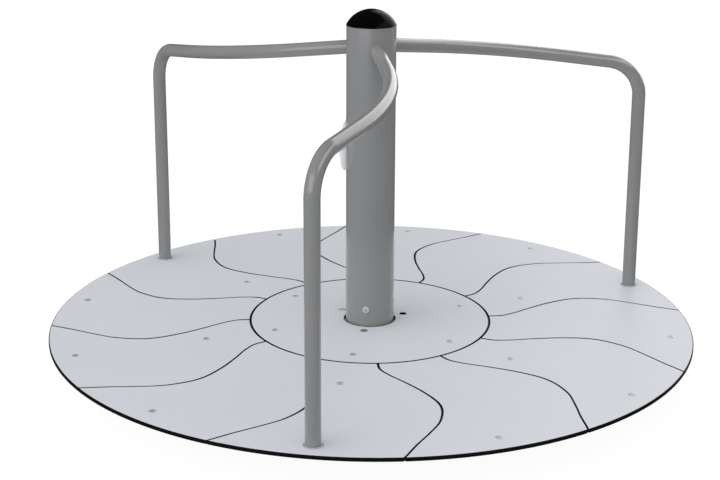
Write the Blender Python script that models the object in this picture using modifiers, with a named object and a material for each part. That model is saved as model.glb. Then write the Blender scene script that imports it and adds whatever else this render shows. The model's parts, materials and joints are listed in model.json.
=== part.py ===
"""Playground roundabout: a round deck of twelve wavy panels with a centre post and three bent handrails.

The deck, its frame, the post and the handrails turn together about the upright axis. They ride on a
fixed spindle, which stands on a base plate at ground level. Metres and degrees, +Z up, with the origin
on the axis at ground level. The handrail legs stand at 30, 150 and 270 degrees.
"""

import math

import bmesh
import bpy
from mathutils import Matrix, Vector

# Deck
DECK_RADIUS = 1.053
DECK_TOP = 0.125
PANEL_THICKNESS = 0.012
PANEL_COUNT = 12
SEAM_GAP = 0.0060
DISC_SEAM_RADIUS = 0.397
SEAM_INNER_ANGLE = 12.53
# Radius of each point of a seam, and how far it has swung round from the seam's inner end there
SEAM_WAVE = (
    (0.397, 0.0), (0.425, 0.05), (0.446, 0.5), (0.487, 3.0), (0.548, 7.1), (0.630, 10.7),
    (0.732, 12.4), (0.834, 10.2), (0.915, 6.6), (0.976, 3.95), (1.053, 1.4),
)

# Post and its cap
POST_RADIUS = 0.0795
POST_WALL = 0.0056
POST_RIM_ABOVE_DECK = 0.985
POST_HOLE_RADIUS = 0.0856
CAP_RISE = 0.051
CAP_PLUG_DEPTH = 0.030
ACCESS_HOLE_RADIUS = 0.0113
ACCESS_HOLE_CIRCLE = 0.120

# Round plate on the post
PLATE_RADIUS = 0.0845
PLATE_THICKNESS = 0.002
PLATE_ABOVE_DECK = 0.591
PLATE_AZIMUTH = 174.0

# Handrails: one bent tube, three times
RAIL_COUNT = 3
RAIL_FIRST_AZIMUTH = 30.0
TUBE_RADIUS = 0.0225
LEG_CIRCLE = 0.9865
ROOT_AZIMUTH = 22.8
ROOT_HEADING = 18.05
ROOT_STRAIGHT = 0.170
SWEEP_RADIUS = 0.813
ROOT_ABOVE_DECK = 0.911
CORNER_ABOVE_DECK = 0.793
CORNER_RADIUS = 0.121
COLLAR_RADIUS = 0.0268
COLLAR_PROUD = 0.002

# Frame under the deck
FRAME_PLATE = 0.006
OUTER_RING = (0.925, 1.015)
MID_RING = (0.535, 0.590)
INNER_RING = (0.310, 0.430)
FLANGE_RADIUS = 0.150
ARM_COUNT = 6
ARM_WIDTH = 0.040
ARM_HEIGHT = 0.040
ARM_TIP_RADIUS = 0.950
HUB_RADIUS = 0.150
HUB_BOTTOM = 0.045
NECK_WALL = 0.010
NECK_TOP = 0.290

# Bearing and fixed base
SPINDLE_RADIUS = 0.030
SPINDLE_TOP = 0.420
RUNNING_GAP = 0.0005
LOWER_BEARING_RADIUS = 0.055
LOWER_BEARING_HEIGHTS = (0.050, 0.100)
UPPER_BEARING_HEIGHTS = (0.360, 0.400)
PEDESTAL_RADIUS = 0.090
BASE_SIDE = 0.450
BASE_THICKNESS = 0.012
ANCHOR_SPACING = 0.360
ANCHOR_HOLE_RADIUS = 0.009

# Distance kept between pieces that touch, how far a cutter runs past a face, and how near welded points lie
SEAT_GAP = 0.0003
CUT_MARGIN = 0.010
MERGE_DISTANCE = 0.00001

# Fineness of the round shapes
ROUND_STEPS = 48
RING_STEPS = 72
SMALL_STEPS = 24
SEAM_POINTS = 15
RIM_STEPS = 4
SWEEP_STEPS = 10
CORNER_STEPS = 8
DOME_STEPS = 8
TUBE_RESOLUTION = 6
SHARP_ANGLE = 35.0

# Finishes: colour, roughness and metallic value
FINISHES = {
    "deck_laminate": ((0.62, 0.63, 0.67), 0.45, 0.0),
    "grey_paint": ((0.235, 0.235, 0.235), 0.25, 0.0),
    "black_plastic": ((0.005, 0.005, 0.005), 0.2, 0.0),
    "pale_plate": ((0.86, 0.88, 0.94), 0.4, 0.0),
    "collar_rubber": ((0.48, 0.48, 0.49), 0.6, 0.0),
    "galvanised_steel": ((0.45, 0.46, 0.47), 0.5, 0.9),
    "bearing_steel": ((0.35, 0.35, 0.36), 0.3, 1.0),
}

PANEL_UNDERSIDE = DECK_TOP - PANEL_THICKNESS
FRAME_TOP = PANEL_UNDERSIDE - SEAT_GAP
FRAME_UNDERSIDE = FRAME_TOP - FRAME_PLATE
ARM_TOP = FRAME_UNDERSIDE - SEAT_GAP
POST_RIM = DECK_TOP + POST_RIM_ABOVE_DECK
POST_BORE = POST_RADIUS - POST_WALL
PANEL_PITCH = 360.0 / PANEL_COUNT
RAIL_AZIMUTHS = [RAIL_FIRST_AZIMUTH + 360.0 / RAIL_COUNT * i for i in range(RAIL_COUNT)]
ARM_AZIMUTHS = [RAIL_FIRST_AZIMUTH + 360.0 / ARM_COUNT * i for i in range(ARM_COUNT)]


def new_collection(name):
    collection = bpy.data.collections.new(name)
    bpy.context.scene.collection.children.link(collection)
    return collection


def new_material(name, colour, roughness, metallic):
    material = bpy.data.materials.new(name)
    material.use_nodes = True
    shader = material.node_tree.nodes["Principled BSDF"]
    shader.inputs["Base Color"].default_value = (*colour, 1.0)
    shader.inputs["Roughness"].default_value = roughness
    shader.inputs["Metallic"].default_value = metallic
    return material


def place(obj, collection, material, parent=None):
    """Link an object, give it its material and hang it on its parent."""
    collection.objects.link(obj)
    if material.name not in obj.data.materials:
        obj.data.materials.append(material)
    obj.parent = parent
    return obj


def polar(radius, degrees):
    angle = math.radians(degrees)
    return Vector((radius * math.cos(angle), radius * math.sin(angle), 0.0))


def shade_round(mesh):
    """Shade the round faces smooth and keep the corners sharp."""
    mesh.shade_smooth()
    mesh.set_sharp_from_angle(angle=math.radians(SHARP_ANGLE))


def as_solid(guide):
    """Make a curve, or a profile with its modifier, a closed mesh of the same name and place."""
    name = guide.name
    bpy.context.scene.collection.objects.link(guide)
    bpy.context.view_layer.update()
    evaluated = guide.evaluated_get(bpy.context.evaluated_depsgraph_get())
    mesh = bpy.data.meshes.new_from_object(evaluated)
    matrix = guide.matrix_world.copy()
    bpy.data.objects.remove(guide)
    shape = bmesh.new()
    shape.from_mesh(mesh)
    bmesh.ops.remove_doubles(shape, verts=shape.verts, dist=MERGE_DISTANCE)
    bmesh.ops.recalc_face_normals(shape, faces=shape.faces)
    shape.to_mesh(mesh)
    shape.free()
    shade_round(mesh)
    obj = bpy.data.objects.new(name, mesh)
    obj.matrix_world = matrix
    return obj


def turned(name, profile, closed=True, steps=ROUND_STEPS):
    """Turn a profile of (radius, height) points, running down the outer side, about the upright axis."""
    mesh = bpy.data.meshes.new(name)
    count = len(profile)
    edges = [(i, i + 1) for i in range(count - 1)]
    if closed:
        edges.append((count - 1, 0))
    mesh.from_pydata([(radius, 0.0, height) for radius, height in profile], edges, [])
    guide = bpy.data.objects.new(name, mesh)
    screw = guide.modifiers.new("Turn", "SCREW")
    screw.steps = steps
    screw.render_steps = steps
    screw.use_merge_vertices = True
    screw.merge_threshold = MERGE_DISTANCE
    return as_solid(guide)


def ring(name, inner, outer, bottom, top, steps=ROUND_STEPS):
    return turned(name, [(outer, top), (outer, bottom), (inner, bottom), (inner, top)], steps=steps)


def circle_points(radius, steps, centre=Vector((0.0, 0.0, 0.0))):
    return [centre + polar(radius, 360.0 / steps * i) for i in range(steps)]


def flat_outline(name, loops, bottom, top):
    """Make a plate from closed outlines: the first is its edge and the others are its holes."""
    curve = bpy.data.curves.new(name, "CURVE")
    curve.dimensions = "2D"
    curve.fill_mode = "BOTH"
    curve.extrude = (top - bottom) / 2
    for loop in loops:
        spline = curve.splines.new("POLY")
        spline.points.add(len(loop) - 1)
        for point, position in zip(spline.points, loop):
            point.co = (position.x, position.y, 0.0, 1.0)
        spline.use_cyclic_u = True
    guide = bpy.data.objects.new(name, curve)
    guide.location.z = (top + bottom) / 2
    return as_solid(guide)


def round_bar(name, path, radius):
    """A round bar along a path, with flat ends."""
    curve = bpy.data.curves.new(name, "CURVE")
    curve.dimensions = "3D"
    curve.bevel_depth = radius
    curve.bevel_resolution = TUBE_RESOLUTION
    curve.use_fill_caps = True
    spline = curve.splines.new("POLY")
    spline.points.add(len(path) - 1)
    for point, position in zip(spline.points, path):
        point.co = (*position, 1.0)
    return as_solid(bpy.data.objects.new(name, curve))


def cylinder_cutter(name, radius, bottom, top, centre, collection, steps=SMALL_STEPS):
    mesh = bpy.data.meshes.new(name)
    shape = bmesh.new()
    bmesh.ops.create_cone(
        shape, cap_ends=True, segments=steps, radius1=radius, radius2=radius, depth=top - bottom,
        matrix=Matrix.Translation((centre.x, centre.y, (top + bottom) / 2)),
    )
    shape.to_mesh(mesh)
    shape.free()
    cutter = bpy.data.objects.new(name, mesh)
    cutter.hide_render = True
    cutter.display_type = "WIRE"
    collection.objects.link(cutter)
    return cutter


def cut(obj, cutter):
    modifier = obj.modifiers.new(cutter.name, "BOOLEAN")
    modifier.operation = "DIFFERENCE"
    modifier.solver = "EXACT"
    modifier.object = cutter


def box(name, size, centre):
    mesh = bpy.data.meshes.new(name)
    shape = bmesh.new()
    scale = Matrix.Diagonal((*size, 1.0))
    bmesh.ops.create_cube(shape, size=1.0, matrix=Matrix.Translation(centre) @ scale)
    shape.to_mesh(mesh)
    shape.free()
    return bpy.data.objects.new(name, mesh)


def seam_swing(radius):
    """Swing of a seam at a radius, in degrees: a smooth curve through the points of SEAM_WAVE."""
    points = SEAM_WAVE
    last = len(points) - 1
    span = next((i for i in range(last) if radius <= points[i + 1][0]), last - 1)

    def slope(i):
        low, high = max(i - 1, 0), min(i + 1, last)
        return (points[high][1] - points[low][1]) / (points[high][0] - points[low][0])

    (start, before), (end, after) = points[span], points[span + 1]
    width = end - start
    t = (radius - start) / width
    return (
        before * (1 + 2 * t) * (1 - t) ** 2
        + slope(span) * width * t * (1 - t) ** 2
        + after * t * t * (3 - 2 * t)
        + slope(span + 1) * width * t * t * (t - 1)
    )


def seam_lip(seam_angle, side, inner, outer):
    """Points of one lip of a seam from the disc to the rim, half the gap to that side of its middle."""
    step = 0.001
    lip = []
    for i in range(SEAM_POINTS):
        radius = inner + (outer - inner) * i / (SEAM_POINTS - 1)
        middle = polar(radius, seam_angle + seam_swing(radius))
        ahead = polar(radius + step, seam_angle + seam_swing(min(radius + step, DECK_RADIUS)))
        along = (ahead - middle).normalized()
        across = Vector((-along.y, along.x, 0.0)) * side
        lip.append((middle + across * SEAM_GAP / 2).normalized() * radius)
    return lip


def arc_between(start, end, mark):
    """Points of an arc about the axis between two points, both left out, passing the angle of the mark."""
    radius = start.length
    a0 = math.atan2(start.y, start.x)
    middle = a0 + math.remainder(math.radians(mark) - a0, math.tau)
    a1 = middle + math.remainder(math.atan2(end.y, end.x) - middle, math.tau)
    first = [a0 + (middle - a0) * i / RIM_STEPS for i in range(1, RIM_STEPS + 1)]
    second = [middle + (a1 - middle) * i / RIM_STEPS for i in range(1, RIM_STEPS)]
    return [Vector((radius * math.cos(a), radius * math.sin(a), 0.0)) for a in first + second]


def deck_panel(index):
    """One of the twelve wavy panels; a panel that a rail leg stands in has a round hole."""
    mark = PANEL_PITCH * index
    inner = DISC_SEAM_RADIUS + SEAM_GAP / 2
    left_seam = mark + SEAM_INNER_ANGLE
    right_seam = left_seam - PANEL_PITCH
    right = seam_lip(right_seam, 1, inner, DECK_RADIUS)
    left = seam_lip(left_seam, -1, inner, DECK_RADIUS)
    left.reverse()
    rim = arc_between(right[-1], left[0], mark)
    root = arc_between(left[-1], right[0], (left_seam + right_seam) / 2)
    loops = [right + rim + left + root]
    if any(math.isclose(mark, azimuth) for azimuth in RAIL_AZIMUTHS):
        loops.append(circle_points(COLLAR_RADIUS + SEAT_GAP, SMALL_STEPS, polar(LEG_CIRCLE, mark)))
    return flat_outline(f"deck_panel_{index + 1:02d}", loops, PANEL_UNDERSIDE, DECK_TOP)


def access_holes():
    """Outlines of the three small holes beside the post."""
    return [
        circle_points(ACCESS_HOLE_RADIUS, SMALL_STEPS, polar(ACCESS_HOLE_CIRCLE, azimuth))
        for azimuth in RAIL_AZIMUTHS
    ]


def centre_disc():
    edge = circle_points(DISC_SEAM_RADIUS - SEAM_GAP / 2, RING_STEPS)
    post_hole = circle_points(POST_HOLE_RADIUS, ROUND_STEPS)
    return flat_outline("centre_disc", [edge, post_hole, *access_holes()], PANEL_UNDERSIDE, DECK_TOP)


def centre_post():
    return ring("centre_post", POST_BORE, POST_RADIUS, FRAME_UNDERSIDE, POST_RIM)


def post_cap():
    """A domed cap, flush with the post, on a plug that fills the tube's mouth."""
    seat = POST_RIM + SEAT_GAP
    sphere = (POST_RADIUS ** 2 + CAP_RISE ** 2) / (2 * CAP_RISE)
    edge_angle = math.asin(POST_RADIUS / sphere)
    dome = []
    for i in range(DOME_STEPS + 1):
        angle = edge_angle * i / DOME_STEPS
        dome.append((sphere * math.sin(angle), seat + CAP_RISE - sphere * (1 - math.cos(angle))))
    plug = POST_BORE - SEAT_GAP
    bottom = POST_RIM - CAP_PLUG_DEPTH
    return turned("post_cap", dome + [(plug, seat), (plug, bottom), (0.0, bottom)], closed=False)


def post_plate():
    """A flat round plate, upright, that touches the post's side."""
    mesh = bpy.data.meshes.new("post_plate")
    shape = bmesh.new()
    bmesh.ops.create_cone(
        shape, cap_ends=True, segments=ROUND_STEPS, radius1=PLATE_RADIUS, radius2=PLATE_RADIUS,
        depth=PLATE_THICKNESS, matrix=Matrix.Rotation(math.radians(90.0), 4, "Y"),
    )
    shape.to_mesh(mesh)
    shape.free()
    shade_round(mesh)
    obj = bpy.data.objects.new("post_plate", mesh)
    obj.location = polar(POST_RADIUS + SEAT_GAP + PLATE_THICKNESS / 2, PLATE_AZIMUTH)
    obj.location.z = DECK_TOP + PLATE_ABOVE_DECK
    obj.rotation_euler.z = math.radians(PLATE_AZIMUTH)
    return obj


def rail_plan():
    """Plan of a handrail from inside the post to its leg, with the leg on +X: straight, sweep, straight."""
    heading = polar(1.0, ROOT_HEADING)
    root = polar(POST_RADIUS, ROOT_AZIMUTH)
    sweep_start = root + heading * ROOT_STRAIGHT
    centre = sweep_start + Vector((heading.y, -heading.x, 0.0)) * SWEEP_RADIUS
    leg = Vector((LEG_CIRCLE, 0.0, 0.0))
    reach = leg - centre
    leave = math.atan2(reach.y, reach.x) + math.acos(SWEEP_RADIUS / reach.length)
    enter = math.radians(ROOT_HEADING + 90.0)
    plan = [root - heading * POST_RADIUS / 2, root]
    for i in range(SWEEP_STEPS + 1):
        angle = enter + (leave - enter) * i / SWEEP_STEPS
        plan.append(centre + Vector((math.cos(angle), math.sin(angle), 0.0)) * SWEEP_RADIUS)
    return plan, leg


def rail_path():
    """Middle line of a handrail: it falls steadily from the post and turns down into its leg."""
    plan, leg = rail_plan()
    run = 0.0
    runs = []
    for before, after in zip(plan, plan[1:] + [leg]):
        runs.append(run)
        run += (after - before).length
    start = runs[1]
    fall = (ROOT_ABOVE_DECK - CORNER_ABOVE_DECK) / (run - start)
    path = []
    for point, along in zip(plan, runs):
        path.append(point + Vector((0.0, 0.0, DECK_TOP + ROOT_ABOVE_DECK - fall * (along - start))))
    corner = leg + Vector((0.0, 0.0, DECK_TOP + CORNER_ABOVE_DECK))
    arrive = (corner - path[-1]).normalized()
    down = Vector((0.0, 0.0, -1.0))
    turn = arrive.angle(down)
    back = CORNER_RADIUS * math.tan(turn / 2)
    inward = (down - arrive * arrive.dot(down)).normalized()
    centre = corner - arrive * back + inward * CORNER_RADIUS
    for i in range(CORNER_STEPS + 1):
        angle = turn * i / CORNER_STEPS
        path.append(centre + (arrive * math.sin(angle) - inward * math.cos(angle)) * CORNER_RADIUS)
    path.append(leg + Vector((0.0, 0.0, PANEL_UNDERSIDE)))
    return path


def handrails(cutters):
    """The same bent tube three times, as solid round bars whose ends follow the post's round side."""
    height = DECK_TOP + ROOT_ABOVE_DECK
    reach = 2 * TUBE_RADIUS
    post_shape = cylinder_cutter("rail_end_cutter", POST_RADIUS + SEAT_GAP, height - reach, height + reach,
                                 Vector((0.0, 0.0, 0.0)), cutters, steps=ROUND_STEPS)
    pattern = round_bar("handrail_pattern", rail_path(), TUBE_RADIUS)
    rails = []
    for index, azimuth in enumerate(RAIL_AZIMUTHS):
        rail = bpy.data.objects.new(f"handrail_{index + 1}", pattern.data)
        rail.rotation_euler.z = math.radians(azimuth)
        cut(rail, post_shape)
        rails.append(rail)
    bpy.data.objects.remove(pattern)
    return rails


def rail_collar(index, azimuth):
    """A sleeve round the foot of a leg, which fills the hole in its panel."""
    name = f"rail_collar_{index + 1}"
    top = DECK_TOP + COLLAR_PROUD
    obj = ring(name, TUBE_RADIUS + SEAT_GAP, COLLAR_RADIUS, PANEL_UNDERSIDE, top, steps=SMALL_STEPS)
    obj.location = polar(LEG_CIRCLE, azimuth)
    return obj


def frame_ring(name, radii):
    return ring(name, radii[0], radii[1], FRAME_UNDERSIDE, FRAME_TOP, steps=RING_STEPS)


def frame_arm(index, azimuth):
    inner = HUB_RADIUS + SEAT_GAP
    size = (ARM_TIP_RADIUS - inner, ARM_WIDTH, ARM_HEIGHT)
    obj = box(f"frame_arm_{index + 1}", size, ((ARM_TIP_RADIUS + inner) / 2, 0.0, 0.0))
    obj.location.z = ARM_TOP - ARM_HEIGHT / 2
    obj.rotation_euler.z = math.radians(azimuth)
    return obj


def post_flange():
    """The round plate at the post's foot, with a hole under each access hole of the centre disc."""
    edge = circle_points(FLANGE_RADIUS, ROUND_STEPS)
    post_hole = circle_points(POST_RADIUS + SEAT_GAP, ROUND_STEPS)
    return flat_outline("post_flange", [edge, post_hole, *access_holes()], FRAME_UNDERSIDE, FRAME_TOP)


def hub_pieces():
    """The turning hub: the housing, and the neck inside the post."""
    housing = ring("hub_housing", LOWER_BEARING_RADIUS + SEAT_GAP, HUB_RADIUS, HUB_BOTTOM, ARM_TOP)
    neck_radius = POST_BORE - SEAT_GAP
    neck = ring("hub_neck", neck_radius - NECK_WALL, neck_radius, FRAME_UNDERSIDE, NECK_TOP)
    return [housing, neck]


def bearings():
    """The two bearings between the turning part and the spindle."""
    bore = SPINDLE_RADIUS + RUNNING_GAP
    lower = ring("lower_bearing", bore, LOWER_BEARING_RADIUS, *LOWER_BEARING_HEIGHTS)
    upper = ring("upper_bearing", bore, POST_BORE - SEAT_GAP, *UPPER_BEARING_HEIGHTS)
    return [lower, upper]


def base_plate(cutters):
    """The square plate on the ground, with its four anchor holes."""
    plate = box("base_plate", (BASE_SIDE, BASE_SIDE, BASE_THICKNESS), (0.0, 0.0, BASE_THICKNESS / 2))
    half = ANCHOR_SPACING / 2
    for index, (x, y) in enumerate(((half, half), (-half, half), (-half, -half), (half, -half))):
        cut(plate, cylinder_cutter(f"anchor_hole_{index + 1}", ANCHOR_HOLE_RADIUS, -CUT_MARGIN,
                                   BASE_THICKNESS + CUT_MARGIN, Vector((x, y, 0.0)), cutters))
    return plate


def main():
    for obj in list(bpy.data.objects):
        bpy.data.objects.remove(obj)
    parts = new_collection("Playground roundabout")
    cutters = new_collection("Cutters")
    finishes = {name: new_material(name, *values) for name, values in FINISHES.items()}
    spin = bpy.data.objects.new("spin_axis", None)
    parts.objects.link(spin)

    for index in range(PANEL_COUNT):
        place(deck_panel(index), parts, finishes["deck_laminate"], spin)
    place(centre_disc(), parts, finishes["deck_laminate"], spin)
    place(centre_post(), parts, finishes["grey_paint"], spin)
    place(post_cap(), parts, finishes["black_plastic"], spin)
    place(post_plate(), parts, finishes["pale_plate"], spin)
    for rail in handrails(cutters):
        place(rail, parts, finishes["grey_paint"], spin)
    for index, azimuth in enumerate(RAIL_AZIMUTHS):
        place(rail_collar(index, azimuth), parts, finishes["collar_rubber"], spin)

    for name, radii in (("outer_ring", OUTER_RING), ("mid_ring", MID_RING), ("inner_ring", INNER_RING)):
        place(frame_ring(name, radii), parts, finishes["galvanised_steel"], spin)
    for index, azimuth in enumerate(ARM_AZIMUTHS):
        place(frame_arm(index, azimuth), parts, finishes["galvanised_steel"], spin)
    place(post_flange(), parts, finishes["galvanised_steel"], spin)
    for piece in hub_pieces():
        place(piece, parts, finishes["galvanised_steel"], spin)
    for piece in bearings():
        place(piece, parts, finishes["bearing_steel"], spin)

    seat = BASE_THICKNESS + SEAT_GAP
    pedestal_top = HUB_BOTTOM - SEAT_GAP
    pedestal = ring("pedestal", SPINDLE_RADIUS + SEAT_GAP, PEDESTAL_RADIUS, seat, pedestal_top)
    spindle = turned("spindle", [(0.0, SPINDLE_TOP), (SPINDLE_RADIUS, SPINDLE_TOP),
                                 (SPINDLE_RADIUS, seat), (0.0, seat)], closed=False)
    place(base_plate(cutters), parts, finishes["galvanised_steel"])
    place(pedestal, parts, finishes["galvanised_steel"])
    place(spindle, parts, finishes["bearing_steel"])


main()
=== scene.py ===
# %% [markdown]
# # A playground roundabout
# The photo shows a low round deck of twelve wavy boards, an upright post with a black domed cap, and three
# bent handrails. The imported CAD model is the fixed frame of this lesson: it holds every size, and each
# piece made here takes its place from it. This script only adds the looks, so it never moves a CAD part.

# %% Load the frame
import json
import math
import random

import bmesh
import bpy
from mathutils import Matrix, Vector


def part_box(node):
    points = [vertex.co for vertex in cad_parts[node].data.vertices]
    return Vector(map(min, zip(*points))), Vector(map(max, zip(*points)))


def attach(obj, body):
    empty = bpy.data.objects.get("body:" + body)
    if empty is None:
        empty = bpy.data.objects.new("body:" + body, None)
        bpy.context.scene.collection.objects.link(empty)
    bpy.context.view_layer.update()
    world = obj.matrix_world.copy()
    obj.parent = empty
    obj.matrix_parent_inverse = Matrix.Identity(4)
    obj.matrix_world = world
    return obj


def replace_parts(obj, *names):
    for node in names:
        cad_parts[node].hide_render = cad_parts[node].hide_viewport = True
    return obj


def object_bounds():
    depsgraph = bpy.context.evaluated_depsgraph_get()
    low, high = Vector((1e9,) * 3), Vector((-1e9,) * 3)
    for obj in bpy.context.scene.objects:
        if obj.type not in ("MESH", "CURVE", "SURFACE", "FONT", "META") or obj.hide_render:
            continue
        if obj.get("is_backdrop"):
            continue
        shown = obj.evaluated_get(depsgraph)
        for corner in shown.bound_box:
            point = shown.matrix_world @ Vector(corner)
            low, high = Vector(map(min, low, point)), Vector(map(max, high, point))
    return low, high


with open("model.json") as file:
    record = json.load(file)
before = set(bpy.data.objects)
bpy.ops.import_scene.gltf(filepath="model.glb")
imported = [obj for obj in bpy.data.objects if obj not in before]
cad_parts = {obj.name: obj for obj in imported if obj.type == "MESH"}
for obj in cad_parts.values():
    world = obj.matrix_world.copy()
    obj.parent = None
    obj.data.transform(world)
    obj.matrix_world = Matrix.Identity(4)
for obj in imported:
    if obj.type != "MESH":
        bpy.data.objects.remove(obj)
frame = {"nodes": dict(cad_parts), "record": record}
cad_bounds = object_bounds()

# %% [markdown]
# ## Reading sizes from the frame
# Nearly everything here is round, so a piece is described by how far its points lie from the turning axis
# and by its lowest and highest point. Both are read from the CAD nodes, so the looks stay right if a size
# in the CAD model changes. What the frame doesn't tell at once, such as the run of a seam or the bends of a
# rail, is written out again below.

# %% Sizes
def radii(node, centre=Vector((0.0, 0.0, 0.0))):
    """Nearest and farthest distance of a node's points from the turning axis or another upright line."""
    reaches = [(vertex.co.xy - centre.xy).length for vertex in frame["nodes"][node].data.vertices]
    return min(reaches), max(reaches)


def heights(node):
    low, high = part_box(node)
    return low.z, high.z


DECK_UNDER, DECK_TOP = heights("centre_disc")
POST_HOLE_RADIUS, DISC_RADIUS = radii("centre_disc")
BOARD_INNER, DECK_RADIUS = radii("deck_panel_01")
POST_BORE, POST_RADIUS = radii("centre_post")
POST_FOOT, POST_RIM = heights("centre_post")
RING_UNDER, RING_TOP = heights("outer_ring")
ARM_UNDER, ARM_TOP = heights("frame_arm_1")
RAIL_AZIMUTHS = (30.0, 150.0, 270.0)
print(f"deck radius {DECK_RADIUS:.3f} m, deck top {DECK_TOP:.3f} m, post radius {POST_RADIUS:.4f} m")

# %% [markdown]
# ## The camera
# A camera was matched to the photo from the deck's round rim, the ends of the seams and the sides of the
# post. It gives the distance, the direction, and a focal length in pixels. A lens in millimetres follows
# from the sensor's width, and the point that the lens looks at straight on gives a small shift. Blender's
# shift is a share of the image width: positive X moves the view right, and positive Y moves it up.

# %% Camera
IMAGE_WIDTH, IMAGE_HEIGHT = 720, 480
SENSOR_WIDTH = 36.0
FOCAL_PIXELS = 1471.5
STRAIGHT_ON_X, STRAIGHT_ON_Y = 337.5, 177.6
CAMERA_DISTANCE = 4.935
CAMERA_ELEVATION = 20.587
CAMERA_AZIMUTH = 8.78
CAMERA_YAW = -1.291
CAMERA_PITCH = 5.430
UP = Vector((0.0, 0.0, 1.0))

scene = bpy.context.scene


def direction(azimuth, elevation):
    """From the object to a viewer: azimuth 0 is the -Y side and 90 the +X side."""
    a, e = math.radians(azimuth), math.radians(elevation)
    return Vector((math.sin(a) * math.cos(e), -math.cos(a) * math.cos(e), math.sin(e)))


def matched_camera():
    deck_middle = UP * DECK_TOP
    towards = direction(CAMERA_AZIMUTH, CAMERA_ELEVATION)
    right = UP.cross(towards).normalized()
    up = towards.cross(right)
    yaw, pitch = math.radians(CAMERA_YAW), math.radians(CAMERA_PITCH)
    look = -towards * math.cos(yaw) * math.cos(pitch) + right * math.sin(yaw) * math.cos(pitch)
    look += up * math.sin(pitch)
    data = bpy.data.cameras.new("photo_camera")
    data.sensor_width = SENSOR_WIDTH
    data.lens = FOCAL_PIXELS * SENSOR_WIDTH / IMAGE_WIDTH
    data.shift_x = (IMAGE_WIDTH / 2 - STRAIGHT_ON_X) / IMAGE_WIDTH
    data.shift_y = (STRAIGHT_ON_Y - IMAGE_HEIGHT / 2) / IMAGE_WIDTH
    camera = bpy.data.objects.new("photo_camera", data)
    camera.location = deck_middle + towards * CAMERA_DISTANCE
    camera.rotation_euler = look.to_track_quat("-Z", "Y").to_euler()
    scene.collection.objects.link(camera)
    return camera


scene.camera = matched_camera()
print(f"lens {scene.camera.data.lens:.1f} mm at {tuple(round(x, 3) for x in scene.camera.location)}")

# %% [markdown]
# ## The studio
# The photo has a pure white ground and soft light with no hard shadow, as in a white cove. The floor is a
# big pale disc and the world gives light from all sides. Photographers also hang black cloth round a
# glossy object, so that its edges read dark against the white. The Light Path node does the same here: it
# tells apart the rays that the camera sees, the rays of a mirror image, and the rays that carry plain
# light, and each kind gets its own brightness of floor and world. The plain light leans a little to the
# front left and upwards, as the post in the photo is paler on that side. The lean is a dot product with the
# direction of the sky.

# %% Floor and world
WHITE = (1.0, 1.0, 1.0, 1.0)
FLOOR_RADIUS = 60.0
FLOOR_GREY = (0.72, 0.72, 0.73, 1.0)
FLOOR_ROUGHNESS = 0.9
FLOOR_GLOW_SHARE = 0.86
FLOOR_GLOW_STRENGTH = 1.10
MIRRORED_FLOOR = 0.13
MIRRORED_WORLD = 0.05
AMBIENT_STRENGTH = 0.80
AMBIENT_TINT = (0.97, 0.985, 1.0, 1.0)
AMBIENT_LEAN = (-0.40, -0.51, 0.25)


def by_ray(tree, path, kind, plain, special, share=1.0):
    """Mix two shaders: the special one takes its share of the rays of one kind."""
    amount = tree.nodes.new("ShaderNodeMath")
    amount.operation = "MULTIPLY"
    amount.inputs[1].default_value = share
    mix = tree.nodes.new("ShaderNodeMixShader")
    tree.links.new(path.outputs[kind], amount.inputs[0])
    tree.links.new(amount.outputs["Value"], mix.inputs["Fac"])
    tree.links.new(plain, mix.inputs[1])
    tree.links.new(special, mix.inputs[2])
    return mix.outputs["Shader"]


def glow(tree, kind, strength, colour=WHITE):
    """The output of a shader that only gives light."""
    lit = tree.nodes.new(kind)
    lit.inputs["Color"].default_value = colour
    lit.inputs["Strength"].default_value = strength
    return lit.outputs[0]


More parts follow.
